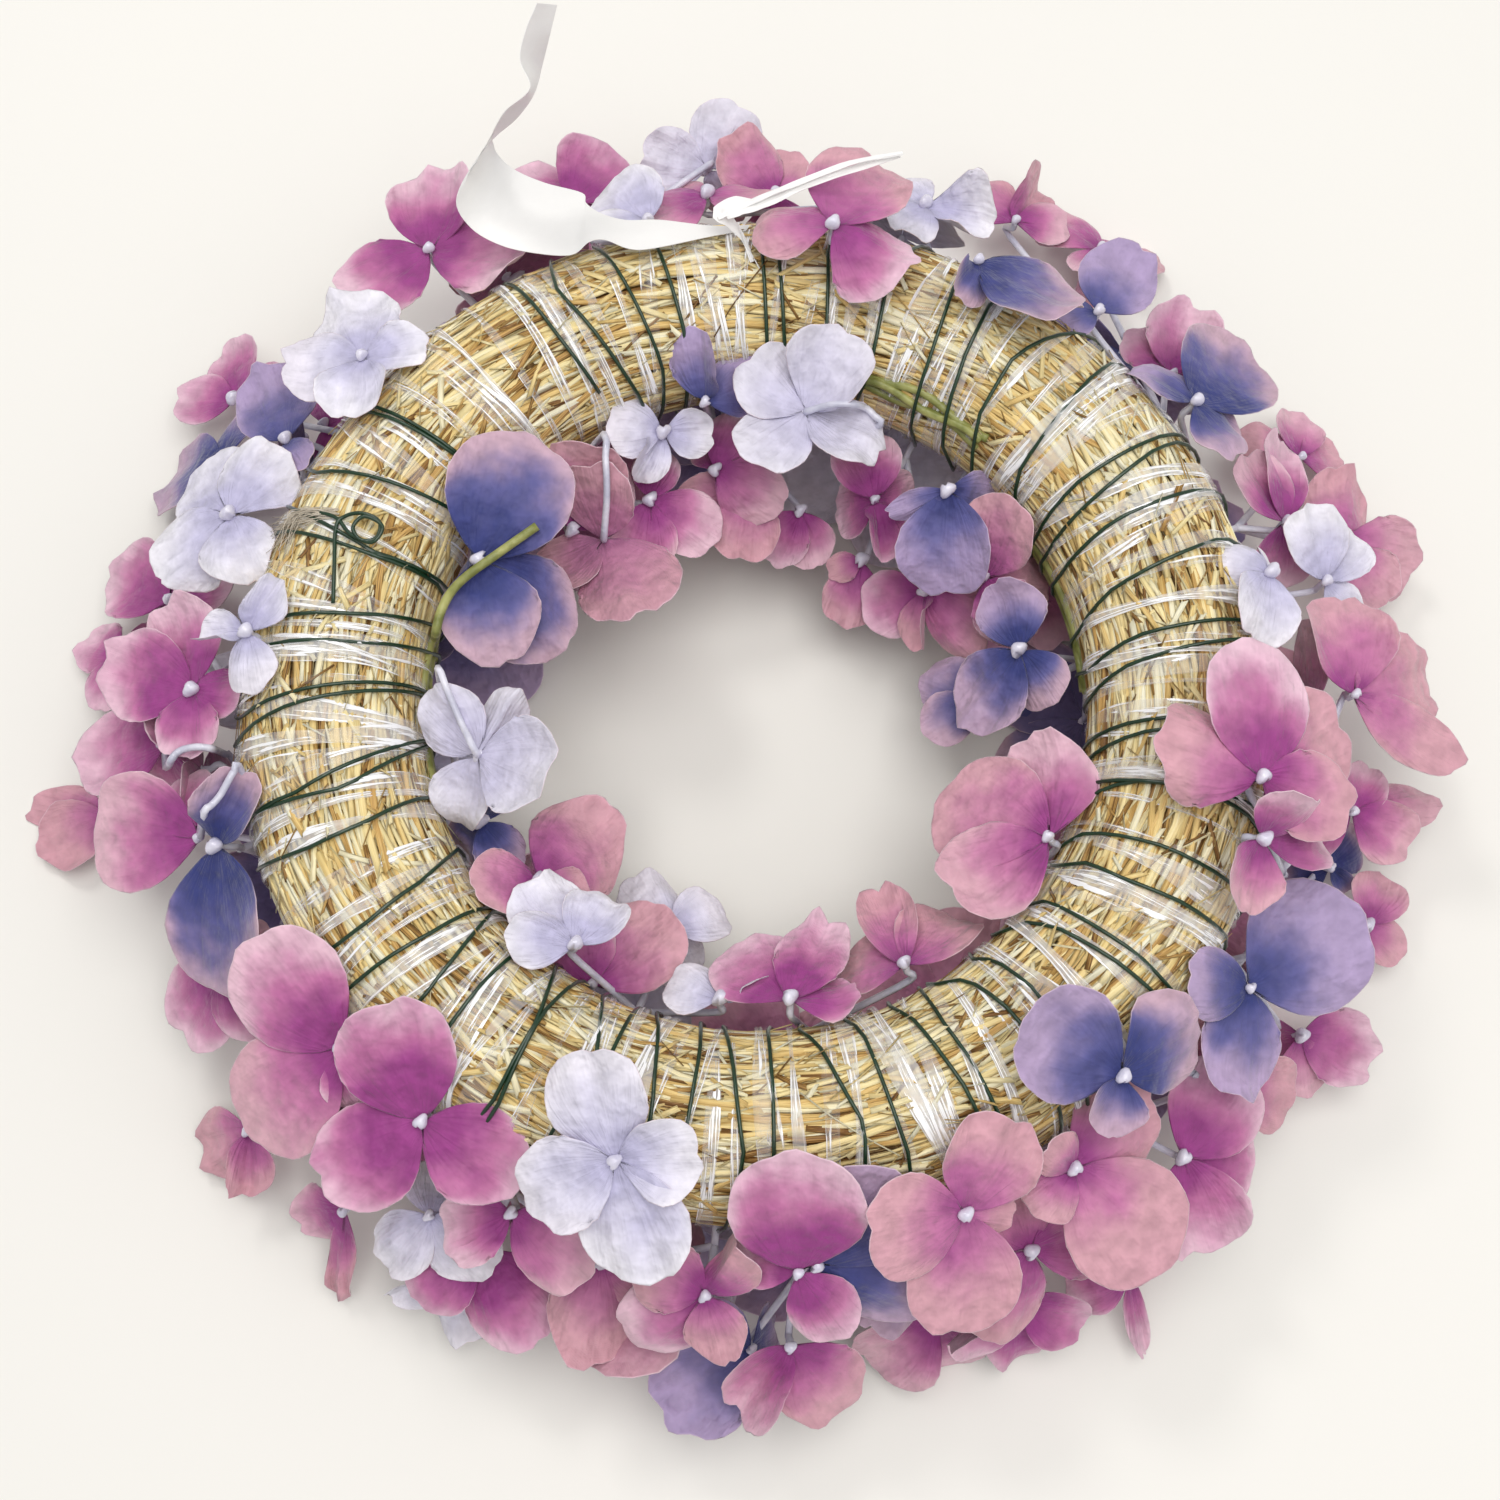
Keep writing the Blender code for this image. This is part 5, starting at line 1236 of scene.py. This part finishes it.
def moved_hubs(hub):
    """The bud's place, and others on or near its line of sight where it may stand clear."""
    line = (hub - EYE).normalized()
    beside = EYE_RIGHT * MOVE_ASIDE
    above = line.cross(EYE_RIGHT).normalized() * MOVE_ASIDE
    places = []
    for aside in (Vector(), beside, -beside, above, -above):
        for shift in MOVES:
            place = hub + line * shift + aside
            if place.z >= min(LOWEST_BUD - 1, hub.z):
                places.append(place)
    return places


def seats(hub, straw):
    """Places on the straw, between turns of wire, where a spray's stalk may stand, nearest first."""
    around = math.degrees(math.atan2(hub.y, hub.x))
    outside = hub.xy.length > RING_MIDDLE
    found = []
    sections = OUTSIDE_SEATS if outside else INSIDE_SEATS
    for section in sections:
        nearest = round((around - WIRE_START) / 360 * WIRE_TURNS)
        for turn in (0, 1, -1, 2, -2, 3, -3):
            for part in (0.5, 0.3, 0.7):
                done = nearest + turn + part + (section - 90) / 360
                angle = WIRE_START + 360 * done / WIRE_TURNS
                start = tube_point(angle, section, 30)
                inward = (tube_point(angle, section, -TUBE) - start).normalized()
                hit = straw.ray_cast(start, inward)[0]
                miss = abs((angle - around + 180) % 360 - 180)
                found.append((miss + 0.15 * abs(section - sections[0]), hit, -inward))
    found.sort(key=lambda seat: seat[0])
    return found

# %% [markdown]
# ### Reading the places back
# A bud's tip and the two middle corners of each petal are corners of the spray's solid.
# For each place that the rules allow, these corners are worked out and looked for in the
# spray. The place with the most of them found is the floret's own.

# %% Reading the places back
SAME = 0.06                 # two corners nearer than this, in mm, are one
TIP_WORTH = 3               # a bud's tip counts as much as so many petal corners
BLADE_MIDDLE = 0.55         # where a blade's two middle corners lie along it
Bloom = namedtuple("Bloom", "seen place normal petals")
Spray = namedtuple("Spray", "index colour blooms joint seat")


def corners_of(node):
    """All corners of a CAD node, in mm from the ring's middle."""
    return [vertex.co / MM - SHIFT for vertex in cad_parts[node].data.vertices]


def surface_of(node):
    """A CAD node's faces as a search tree."""
    faces = [tuple(face.vertices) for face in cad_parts[node].data.polygons]
    return BVHTree.FromPolygons(corners_of(node), faces)


def search_of(points):
    """Points, ready to be searched."""
    tree = KDTree(len(points))
    for k, point in enumerate(points):
        tree.insert(point, k)
    tree.balance()
    return tree


def middle_corners(petal_frame, length, shape, table):
    """The two corners in the middle of a petal's CAD blade."""
    hub, forward, _, normal = petal_frame
    lift, bend, _ = shape
    angle = lift + bend * BLADE_MIDDLE / 2
    reach = length * BLADE_MIDDLE
    middle = hub + (forward * math.cos(angle) + normal * math.sin(angle)) * reach
    angle = lift + bend * 0.4
    up = (normal * math.cos(angle) - forward * math.sin(angle)) * (BLADE / 2)
    corners = [middle + up, middle - up]
    for corner in corners:
        corner.z = max(corner.z, table)
    upper = 0 if corners[0].z > corners[1].z else 1
    corners[upper].z = max(corners[upper].z, table + BLADE)
    return corners


def count_found(corners, points):
    """How many of some points are corners of the spray."""
    return sum(corners.find(point)[2] < SAME for point in points)


def read_floret(corners, key, hub, normal, petals, table):
    """A floret's own place and its petals: frame, size, and shape, None where it isn't found."""
    best = None
    for place in moved_hubs(hub):
        tip = place + normal * BUD_HEIGHT
        tip.z = max(tip.z, table)
        score = TIP_WORTH * count_found(corners, [tip])
        if best and best[0] >= TIP_WORTH and not score:
            continue
        found = []
        for p, (direction, length) in enumerate(petals):
            petal_frame, size, shapes = petal_choices(key, p, place, normal, direction, length)
            most, match = 0, None
            for shape in shapes:
                for low in (table, table + 0.15):
                    hits = count_found(corners, middle_corners(petal_frame, length, shape, low))
                    if hits > most:
                        most, match = hits, shape
            score += most
            found.append((petal_frame, size, match))
        if best is None or score > best[0]:
            best = (score, place, found)
    return best[1:]


def read_joint(corners, hub, straw):
    """Where a spray's stems part, and its stalk's foot on the straw; None if they aren't found."""
    most, best = 0, None
    for _, seat, outward in seats(hub, straw):
        for length in (STALK, STALK + 4):
            joint = seat + outward * length
            ends = [seat + outward * FOOT_GAP, joint + outward * 1.2]
            ahead = (ends[1] - ends[0]).normalized()
            guide = Vector((0.31, 0.17, 0.94))
            side = (guide - ahead * guide.dot(ahead)).normalized()
            other = ahead.cross(side)
            turns = [2 * math.pi * (j + 0.5) / 3 for j in range(3)]
            hits = count_found(corners, [end + (side * math.cos(turn) + other * math.sin(turn)) * STALK_RADIUS
                                         for end in ends for turn in turns])
            if hits > most:
                most, best = hits, (joint, seat)
    return best


straw = surface_of("straw_ring")
hidden = hidden_florets()
BLOOMS = {}
named = Counter()
for index, (colour, members) in enumerate(SPRAYS):
    named[colour] += 1
    name = f"{colour}_spray_{named[colour]:02d}"
    corners = search_of(corners_of(name))
    blooms = []
    for f, (hub, normal, petals) in enumerate(florets_of(members) + hidden.get(index, [])):
        seen = f < len(members)
        table = SEEN_TABLE + TABLE_STEP * f if seen else TABLE_STEP * (f - len(members))
        place, found = read_floret(corners, (index, f), hub, normal, petals, table)
        blooms.append(Bloom(seen, place, normal, found))
    own, listed = blooms[0].place, florets_of(members)[0][0]
    joint, seat = read_joint(corners, own, straw) or read_joint(corners, listed, straw)
    BLOOMS[name] = Spray(index, colour, blooms, joint, seat)
florets = [bloom for spray in BLOOMS.values() for bloom in spray.blooms]
petals = [petal for bloom in florets for petal in bloom.petals]
print(len(florets), "florets in", len(BLOOMS), "sprays")
print("petals found:", sum(petal[2] is not None for petal in petals), "of", len(petals))

# %% [markdown]
# ## Petals
# A real petal is stamped from cloth and pressed in a hot mould. It could be a painted
# plane, but its look is in its outline and its soft bends: a narrow base, a broad round
# end with a scalloped edge, and a thin cut rim. So a grid is drawn out to the outline,
# row by row across and column by column along, its rim is inset for the cut threads, and
# it is given a thickness. Each copy is then cupped, rippled and creased in its own way.

# %% Petal blanks
def cut_petal(name, rows, columns, square, notch, scallops):
    """A petal 1 long and 1 wide, from its base at the origin along X."""
    petal = flat_grid(name, rows, columns)
    spots = {v.index: (round(v.co.x * rows), round((v.co.y + 0.5) * columns)) for v in petal.data.vertices}
    bpy.ops.object.mode_set(mode="EDIT")
    for i in range(rows + 1):
        x = i / rows
        wide = 0.09 + 0.91 * math.sin(math.pi / 2 * x ** 0.85)
        wide *= 1 + 0.8 * scallops * x * (noise(name, "row", i) - 0.5)
        pick([k for k, spot in spots.items() if spot[0] == i])
        bpy.ops.transform.resize(value=(1, wide, 1), center_override=(0, 0, 0))
    for j in range(columns + 1):
        even = 2 * j / columns - 1
        v = math.sin(math.pi / 2 * even)
        pick([k for k, spot in spots.items() if spot[1] == j])
        bpy.ops.transform.resize(value=(1, v / even if even else 1, 1), center_override=(0, 0, 0))
        reach = 0.5 + 0.5 * (1 - abs(v) ** square) ** (1 / square)
        reach -= notch * math.exp(-(v / 0.2) ** 2)
        wave = 0.3 * math.sin(7 * v + 6 * noise(name))
        reach *= 1 + scallops * (0.5 * noise(name, "column", j) + wave - 0.25)
        bpy.ops.transform.resize(value=(reach, 1, 1), center_override=(0, 0, 0))
    shape = bmesh.from_edit_mesh(petal.data)
    rim = {plan_place(v) for v in shape.verts if v.is_boundary}
    bpy.ops.mesh.select_all(action="SELECT")
    bpy.ops.mesh.inset(thickness=0.014)
    bpy.ops.object.mode_set(mode="OBJECT")
    thick = petal.modifiers.new("thickness", "SOLIDIFY")
    thick.thickness = 1
    thick.offset = 0
    bpy.ops.object.modifier_apply(modifier="thickness")
    print(name, "has", sum(len(p.vertices) - 2 for p in petal.data.polygons), "triangles")
    return Blank(petal, rim)


FINE_CUTS = [  # name, how square its end is, how deep its notch, how uneven its edge
    ("round_petal", 2.2, 0.0, 0.06), ("broad_petal", 2.6, 0.0, 0.07), ("pointed_petal", 1.8, 0.0, 0.06),
    ("notched_petal", 2.2, 0.07, 0.07), ("uneven_petal", 2.3, 0.0, 0.1)]
PLAIN_CUTS = [("plain_petal", 2.2, 0.0, 0.06), ("plain_broad_petal", 2.7, 0.03, 0.1)]
PETALS = [cut_petal(name, 9, 18, *cut) for name, *cut in FINE_CUTS]
PLAIN_PETALS = [cut_petal(name, 5, 8, *cut) for name, *cut in PLAIN_CUTS]

# %% [markdown]
# ### Buds
# In the middle of each floret sits a closed bud: four sepals that meet at its tip. A plain
# ball looks like a bead, so a ball is pinched along four grooves.

# %% Bud blank
alone()
bpy.ops.mesh.primitive_uv_sphere_add(segments=16, ring_count=7, radius=1)
bud_shape = bpy.context.object
grooves = [v.index for v in bud_shape.data.vertices
           if abs(math.degrees(math.atan2(v.co.y, v.co.x)) % 90) < 1 and v.co.xy.length > 0.1]
bpy.ops.object.mode_set(mode="EDIT")
pick(grooves)
bpy.ops.transform.resize(value=(0.55, 0.55, 0.8), center_override=(0, 0, 0))
bpy.ops.object.mode_set(mode="OBJECT")
bud_blank = Blank(bud_shape, wrap=True)

# %% [markdown]
# ### Pressing
# The mould gives each real petal its cup, and handling adds ripples and folds. All of
# these are bends of the flat blank, so one function bends its points: down its length,
# along its middle, in ripples that grow towards the rim, and over a fold.

# %% Pressing a petal
CLOTH = 0.26                # thickness of the cloth, in mm
LOWEST = 0.25
LEVEL = 0.28                # neighbours in a floret lie by turns this much higher and lower
CURLS_FROM = 0.66           # the rim curls from here on, as a share of the length
ROOT = 0.6                  # a petal starts this far out from the bud's middle


def press(blank, key, petal_frame, size, shape, folded, strength, shift, share=1.0):
    """A petal's points: its blank laid on its CAD blade, with its own cup, ripples, fold and curled rim."""
    hub, forward, across, normal = (np.array(v) for v in petal_frame)
    length, width = size[0] * share, size[1] * share
    lift, bend, fold = shape
    x, y, z = blank.points.T
    side = 2 * y
    angle = lift + bend * x / 2
    n = [noise("press", *key, k) for k in range(16)]
    # ripples across the rim, broad and fine, then waves along its length, broad and fine
    ripple = (0.015 + 0.04 * n[0]) * length * x ** 1.5 * np.sin(side * (3 + 4 * n[1]) + 6.3 * n[2])
    ripple += 0.014 * length * x ** 3 * np.sin(side * (9 + 5 * n[3]) + 6.3 * n[4])
    ripple += 0.020 * length * x * np.sin(x * (5 + 4 * n[5]) + 6.3 * n[6] + 2 * side * (n[7] - 0.5))
    ripple += 0.010 * length * np.sin(x * 13 + side * 5 * (n[8] - 0.5) + 6.3 * n[9]) * x
    # the curl of the rim's end and of both sides, and of one side alone on some petals
    edge = np.clip(x - CURLS_FROM, 0, 1) / (1 - CURLS_FROM)
    ripple += (n[10] - 0.45) * 0.24 * length * edge ** 2
    ripple += (n[11] - 0.5) * 0.34 * width * np.abs(side) ** 2.5 * np.sin(3.1 * np.clip(x, 0, 1))
    ripple += (n[14] - 0.4) * 0.4 * np.where(side > 0, side, 0) ** 2 * width * x * (n[15] > 0.6)
    crease = -0.4 * np.exp(-(side / 0.14) ** 2) * np.clip(1.1 - x, 0, 1)
    twist = (n[12] - 0.5) * 0.7 * x * strength
    offset = y * width
    level = LEVEL if key[2] % 2 else -LEVEL
    ripple += (level * np.clip(4 * x, 0, 1) + shift * x) / strength
    if folded and strength > 0.4:
        bent = np.where(side * folded[0] > 0, np.abs(offset), 0) * np.clip(3 * x, 0, 1)
        offset = offset - folded[0] * bent * (1 - math.cos(math.radians(folded[1])))
        ripple += bent * math.sin(math.radians(folded[1])) / strength
    cup = fold + (n[13] - 0.55) * 0.9 * strength
    rise = cup * offset ** 2 / width + ripple * strength + crease + z * CLOTH + offset * np.sin(twist)
    cos, sin = np.cos(angle)[:, None], np.sin(angle)[:, None]
    along = (ROOT + (length - ROOT) * x)[:, None]
    points = hub + (forward * cos + normal * sin) * along + across * (offset * np.cos(twist))[:, None]
    points = points + (normal * cos - forward * sin) * rise[:, None]
    points[:, 2] = np.maximum(points[:, 2], LOWEST + 0.5 * n[13] + z * CLOTH)
    return points


def place_bud(normal, hub, size, turn):
    """The bud's points, small and four-lobed, facing along the floret's normal."""
    side = normal.orthogonal().normalized()
    other = normal.cross(side)
    x, y, z = bud_blank.points.T
    cos, sin = math.cos(turn), math.sin(turn)
    right = np.outer(x * cos - y * sin, np.array(side))
    front = np.outer(x * sin + y * cos, np.array(other))
    lumps = (1 + 0.15 * np.sin(3 * np.arctan2(y, x) + 9 * turn) * np.hypot(x, y))[:, None]
    flat = (right * 1.1 + front * 0.85) * lumps * size
    return np.array(hub + normal) + flat + np.outer(z, np.array(normal)) * size


# %% [markdown]
# ### Room for each petal
# To keep the petals apart, each is kept as a search tree of its faces. A new one asks
# which of the trees near it its own faces cross.

# %% Keeping petals apart
CLEAR_OF_BUD = 0.3          # petals of one floret may meet up to here, as a share of their length


def skin(blank, points, start=0.0):
    """A petal's faces as a search tree; with a start, only those that far out from its base."""
    faces = faces_of(blank.corners, blank.sizes)
    if start:
        out = blank.points[:, 0] > start
        faces = [face for face in faces if out[face].all()]
    return BVHTree.FromPolygons(points.tolist(), faces)


class Laid:
    """A thing in its place: its faces as search trees, its corners, its owner and how it is pressed."""

    def __init__(self, tree, outer, points, owner, blank=None, make=None):
        self.tree, self.outer, self.points, self.owner = tree, outer, points, owner
        self.low, self.high = points.min(axis=0), points.max(axis=0)
        self.blank, self.make, self.tone = blank, make, 0.5
        self.away = float(np.linalg.norm(points.mean(axis=0) - np.array(EYE)))


class Crowd:
    """All that is already laid, to ask what a petal cuts into."""

    def __init__(self):
        self.laid = []

    def met(self, thing):
        """What a thing cuts into; petals of one floret may meet near their bud."""
        found = []
        for other in self.laid:
            if other is thing or not ((thing.low < other.high).all() and (other.low < thing.high).all()):
                continue
            kin = other.owner == thing.owner
            if (other.outer if kin else other.tree).overlap(thing.outer if kin else thing.tree):
                found.append(other)
        return found

    def lay(self, blank, make, owner, tries):
        """A petal at the first try (strength, shift, share of size) that cuts into the fewest others."""
        best = None
        for tried in tries:
            points = make(*tried)
            outer = skin(blank, points, CLEAR_OF_BUD)
            thing = Laid(skin(blank, points), outer, points, owner, blank, make)
            count = len(self.met(thing))
            if best is None or count < best[0]:
                best = (count, thing)
            if count == 0:
                break
        return best


crowd = Crowd()
for name in ("straw_ring", "label_strip", "film_tail"):
    tree = surface_of(name)
    crowd.laid.append(Laid(tree, tree, np.array(corners_of(name)), name))

# %% [markdown]
# ### The stems' ways
# In a real spray each floret's stem bends away behind its bud and runs to the joint,
# where the stems meet the stalk. A straight rod would cut through the petals beside it,
# so the way is bent a few millimetres behind the bud. The stems are laid before the
# petals, which then keep clear of them.

# %% Stem paths
def rod_skin(path, radius):
    """A stem as three flat faces round each stretch: its search tree and its points."""
    points, faces = [], []
    for a, b in zip(path, path[1:]):
        side = (b - a).orthogonal().normalized() * radius
        other = (b - a).normalized().cross(side)
        k = len(points)
        for end in (a, b):
            points += [end + side, end - side * 0.5 + other * 0.87, end - side * 0.5 - other * 0.87]
        faces += [(k + j, k + (j + 1) % 3, k + 3 + (j + 1) % 3, k + 3 + j) for j in range(3)]
    return BVHTree.FromPolygons(points, faces), np.array(points)


STEMS = {}                  # spray: the middle lines of its stems, the stalk last
LOWEST_BEND = 1.6
for name, spray in BLOOMS.items():
    joint, seat = spray.joint, spray.seat
    STEMS[name] = []
    for _, place, normal, _ in spray.blooms:
        back = place - normal * min(STEM_BEND, 0.4 * (joint - place).length)
        back.z = max(back.z, LOWEST_BEND)
        way = [place - normal * 0.3, place - normal * 2.5, back, joint.lerp(back, 0.4), joint]
        STEMS[name].append(smooth_path(way, 4))
    outward = (joint - seat).normalized()
    STEMS[name].append(smooth_path([joint + outward * 0.6, joint, seat, seat - outward * 2], 3))
    for f, path in enumerate(STEMS[name]):
        tree, points = rod_skin(path, 1.0)
        crowd.laid.append(Laid(tree, tree, points, (name, f)))
print("stems:", sum(len(paths) for paths in STEMS.values()))

# %% [markdown]
# ### Laying the petals
# Cloth petals press against each other and never pass through each other. Pressing them
# all with a simulation would take long and would move them off their places, so they are
# laid one after the other: each is tried with a few amounts of ripple and small shifts,
# and stays in the first that meets nothing. A few are folded or seen edge-on, as in the
# picture.

# %% Flowers
TRIES = [  # strength of its ripples, and shift
    (1.3, 0), (0.9, 0), (0.5, 0), (0.5, -0.7), (0.5, 0.7), (0.2, 0), (0.3, -1.4), (0.3, 1.4), (0.2, -2.2)]
FLAT_TRIES = TRIES[2:]
LONG_PETAL = 30.0           # a petal longer than this, in mm, is cut round and lies flatter
LONGEST = 1.18 * LONG_PETAL # from here on it is also made a little smaller
MAY_FOLD = 22.0             # petals shorter than this may hang folded
FOLDED = 0.84               # and do so where their draw is above this
FOLDS = {  # floret and petal: the side that is folded, and by how many degrees
    (15, 0, 0): (1, -85), (26, 0, 3): (1, -70), (21, 0, 1): (1, -70), (46, 0, 1): (1, 65)}
NARROW = {  # floret and petal: share of width
    (11, 1, 0): 0.34, (19, 2, 0): 0.34, (8, 2, 0): 0.62, (26, 1, 2): 0.62, (25, 1, 0): 0.6,
    (40, 0, 1): 0.5, (44, 1, 1): 0.66, (44, 0, 1): 0.72, (28, 0, 1): 0.66}
LAID = {name: [] for name in BLOOMS}    # spray: its petals as things laid


def keep(name, thing, shade, key):
    """A petal that stays where it is: its tone, and its place in the crowd and in its spray."""
    thing.tone = min(1.0, 0.6 * shade + 0.4 * noise("tone", *key))
    crowd.laid.append(thing)
    LAID[name].append(thing)


still = 0
for name, spray in BLOOMS.items():
    for f, bloom in enumerate(spray.blooms):
        kinds = PETALS if bloom.seen else PLAIN_PETALS
        for p, (petal_frame, size, shape) in enumerate(bloom.petals):
            if shape is None:
                continue
            key = (spray.index, f, p)
            length, width = size[0] * 1.01, size[1] * between(0.96, 1.08, "wide", *key)
            large = size[0] > LONG_PETAL
            blank = PETALS[0] if large else kinds[int(noise("kind", *key) * len(kinds))]
            if size[0] > LONGEST:
                length, width = size[0] * 0.92, size[1] * 0.92
            if key in NARROW:
                length, width = length * 1.08, width * NARROW[key]
            folded = FOLDS.get(key)
            if not folded and size[0] < MAY_FOLD and noise("fold", *key) > FOLDED:
                folded = (1 if noise("side", *key) > 0.5 else -1, between(35, 75, "fold", *key))
            make = partial(press, blank, key, petal_frame, (length, width), shape, folded)
            count, thing = crowd.lay(blank, make, (name, f), FLAT_TRIES if large else TRIES)
            still += count > 0
            keep(name, thing, noise("shade", spray.index, f), key)
laid = sum(len(things) for things in LAID.values())
print("petals from the CAD model:", laid, "of which", still, "meet another")

# %% [markdown]
# ### The petals behind
# Every floret has four petals, of which the table lists those that the picture shows. The
# others are pressed back behind their neighbours. They fill the widest gap of each floret
# wherever there is room for them, and make the flower heads as dense as they are.

# %% Petals behind
WHOLE_TURN = 2 * math.pi
LEAST_GAP = math.radians(95)
BEHIND_LIFTS = (-42, -56, -70, -84)     # degrees that such a petal is pressed back, tried in turn
BEHIND_LENGTHS = (15, 22)

added = 0
for name, spray in BLOOMS.items():
    for f, (seen, place, normal, found) in enumerate(spray.blooms):
        if not seen:
            continue
        side = normal.orthogonal().normalized()
        other = normal.cross(side)
        turns = sorted(math.atan2(p[0][1].dot(other), p[0][1].dot(side)) for p in found)
        for extra in range(4 - len(found)):
            following = turns[1:] + turns[:1]
            gap, start = max(((b - a) % WHOLE_TURN or WHOLE_TURN, a) for a, b in zip(turns, following))
            if gap < LEAST_GAP:
                break
            turn = start + gap / 2
            turns = sorted(turns + [turn])
            forward = side * math.cos(turn) + other * math.sin(turn)
            petal_frame = (place, forward, normal.cross(forward), normal)
            key = (spray.index, f, 10 + extra)
            length = between(*BEHIND_LENGTHS, "extra", *key)
            blank = PETALS[int(noise("kind", *key) * len(PETALS))]
            for lift in BEHIND_LIFTS:
                shape = (math.radians(lift), math.radians(-20), 0.2)
                make = partial(press, blank, key, petal_frame, (length, length * 0.95), shape, None)
                count, thing = crowd.lay(blank, make, (name, f), [(0.8, 0), (0.3, 0)])
                if count == 0:
                    keep(name, thing, noise("shade", spray.index, f), key)
                    added += 1
                    break
print("petals added behind:", added)

# %% [markdown]
# ### The last petals that meet
# Some petals found no free way. Each is looked at again, now that all others lie: the one
# further from the eye is moved a little or made smaller, until it meets fewer petals. It
# is done twice, since one that moves can make room for the next.

# %% Parting the petals that still meet
PARTING = [(0.5, shift, share) for share in (1.0, 0.86, 0.72, 0.58) for shift in (0, -1.2, 1.2, -2.4)]
parted = 0
for _ in range(2):
    for thing in [thing for things in LAID.values() for thing in things]:
        for other in crowd.met(thing):
            rear = thing if other.make is None or thing.away > other.away else other
            home = LAID[rear.owner[0]]
            if rear not in home or thing not in LAID[thing.owner[0]]:
                continue
            crowd.laid.remove(rear)
            count, moved = crowd.lay(rear.blank, rear.make, rear.owner, PARTING)
            if count < len(crowd.met(rear)):
                moved.tone = rear.tone
                home[home.index(rear)] = moved
                rear = moved
                parted += 1
            crowd.laid.append(rear)
print("petals parted:", parted)

# %% [markdown]
# ### Stems that cross in front
# Some florets are seen from behind, and their stems pass over their own petals and over
# their neighbours. A stem drawn in space from bud to spray would dive through them, so
# each is laid like a thread on the picture: over whatever stands nearest to the eye along
# its way. The cut end of a green stem lies over the blue florets in the same way.

# %% Stems in front
def laid_over(spots, gap):
    """A path so many mm before whatever the picture shows along some places, across bare table too."""
    places = smooth_path([Vector((*spot, 0)) for spot in spots], 5)
    lines = [sight_line(place.x, place.y) for place in places]
    near = {}
    for k, line in enumerate(lines):
        reaches = [reach for reach in (thing.tree.ray_cast(EYE, line)[3] for thing in crowd.laid) if reach]
        if reaches:
            near[k] = min(reaches) - gap
    near = np.interp(range(len(lines)), list(near), list(near.values()))
    return [EYE + lines[k] * min(near[max(0, k - 2):k + 3]) for k in range(0, len(lines), 2)]


FRONT_STEMS = {             # floret seen from behind, and places on its stem
    ("lilac", (806, 412)): [(808, 411), (836, 404), (866, 408), (884, 430)],
    ("lilac", (478, 755)): [(475, 751), (459, 718), (438, 668)],
    ("mauve", (604, 540)): [(604, 537), (607, 490), (604, 434)],
    ("mauve", (165, 745)): [(166, 768), (178, 752), (197, 747), (216, 750), (232, 758)],
    ("mauve", (200, 838)): [(204, 812), (219, 797), (231, 776), (240, 763)]}
CUT_STEM = [(537, 526), (500, 552), (462, 580), (444, 604), (436, 632), (433, 668)]
STEM_GAP, CUT_STEM_GAP = 1.0, 1.6
for (colour, hub_place), spots in FRONT_STEMS.items():
    off, name, f = min((math.dist(picture_of(bloom.place), hub_place), name, f)
                       for name, spray in BLOOMS.items() if spray.colour == colour
                       for f, bloom in enumerate(spray.blooms) if bloom.seen)
    joint = BLOOMS[name].joint
    over = laid_over(spots, STEM_GAP)
    way = [BLOOMS[name].blooms[f].place] + over + [over[-1].lerp(joint, 0.6), joint]
    STEMS[name][f] = smooth_path(way, 2)
    print(name, f, "has its stem in front,", round(off, 1), "from its place")
cut_end = smooth_path(laid_over(CUT_STEM, CUT_STEM_GAP), 2)
cords("cut_green_stem", [cut_end], GREEN_RADIUS, FINISHES["green_plastic"], (), 2)
print("cut green stem:", TRIANGLES["cut_green_stem"], "triangles")

# %% [markdown]
# ### The pieces of each spray
# Each spray has three materials, so it becomes three pieces: its petals, its buds and its
# stems. Stems of real ones are moulded with swollen ends where they meet, and the rods
# are thicker there too.

# %% Petals, buds and stems as pieces
BUD_SIZES = (1.3, 2.1)
THIN_STEM = 0.8


def swollen(t):
    """How much thicker than its thinnest a stem is, from one end to the other."""
    return 1.25 - 0.5 * t * (1 - t)


for name, spray in BLOOMS.items():
    petals, buds = Heap(), Heap()
    for thing in LAID[name]:
        petals.add(thing.blank, thing.points, thing.tone)
    for f, bloom in enumerate(spray.blooms):
        size = between(*BUD_SIZES, "bud size", spray.index, f)
        points = place_bud(bloom.normal, bloom.place, size, noise("bud", spray.index, f) * 6)
        buds.add(bud_blank, points, noise("shade", spray.index, f))
    petals.piece(name + "_petals", FINISHES[spray.colour], spray.colour, (name,))
    buds.piece(name + "_buds", FINISHES["bud_gloss"])
    cords(name + "_stems", STEMS[name], THIN_STEM, FINISHES["pale_stem"], (), 1, swollen)
flowers = sum(count for name, count in TRIANGLES.items() if "_spray_" in name)
print("flowers:", flowers, "triangles")

# %% [markdown]
# ## The whole
# The triangles of all the new pieces are counted, and the largest piece's count is shown.

# %% Sizes
print("all pieces:", sum(TRIANGLES.values()), "triangles; the largest has", max(TRIANGLES.values()))
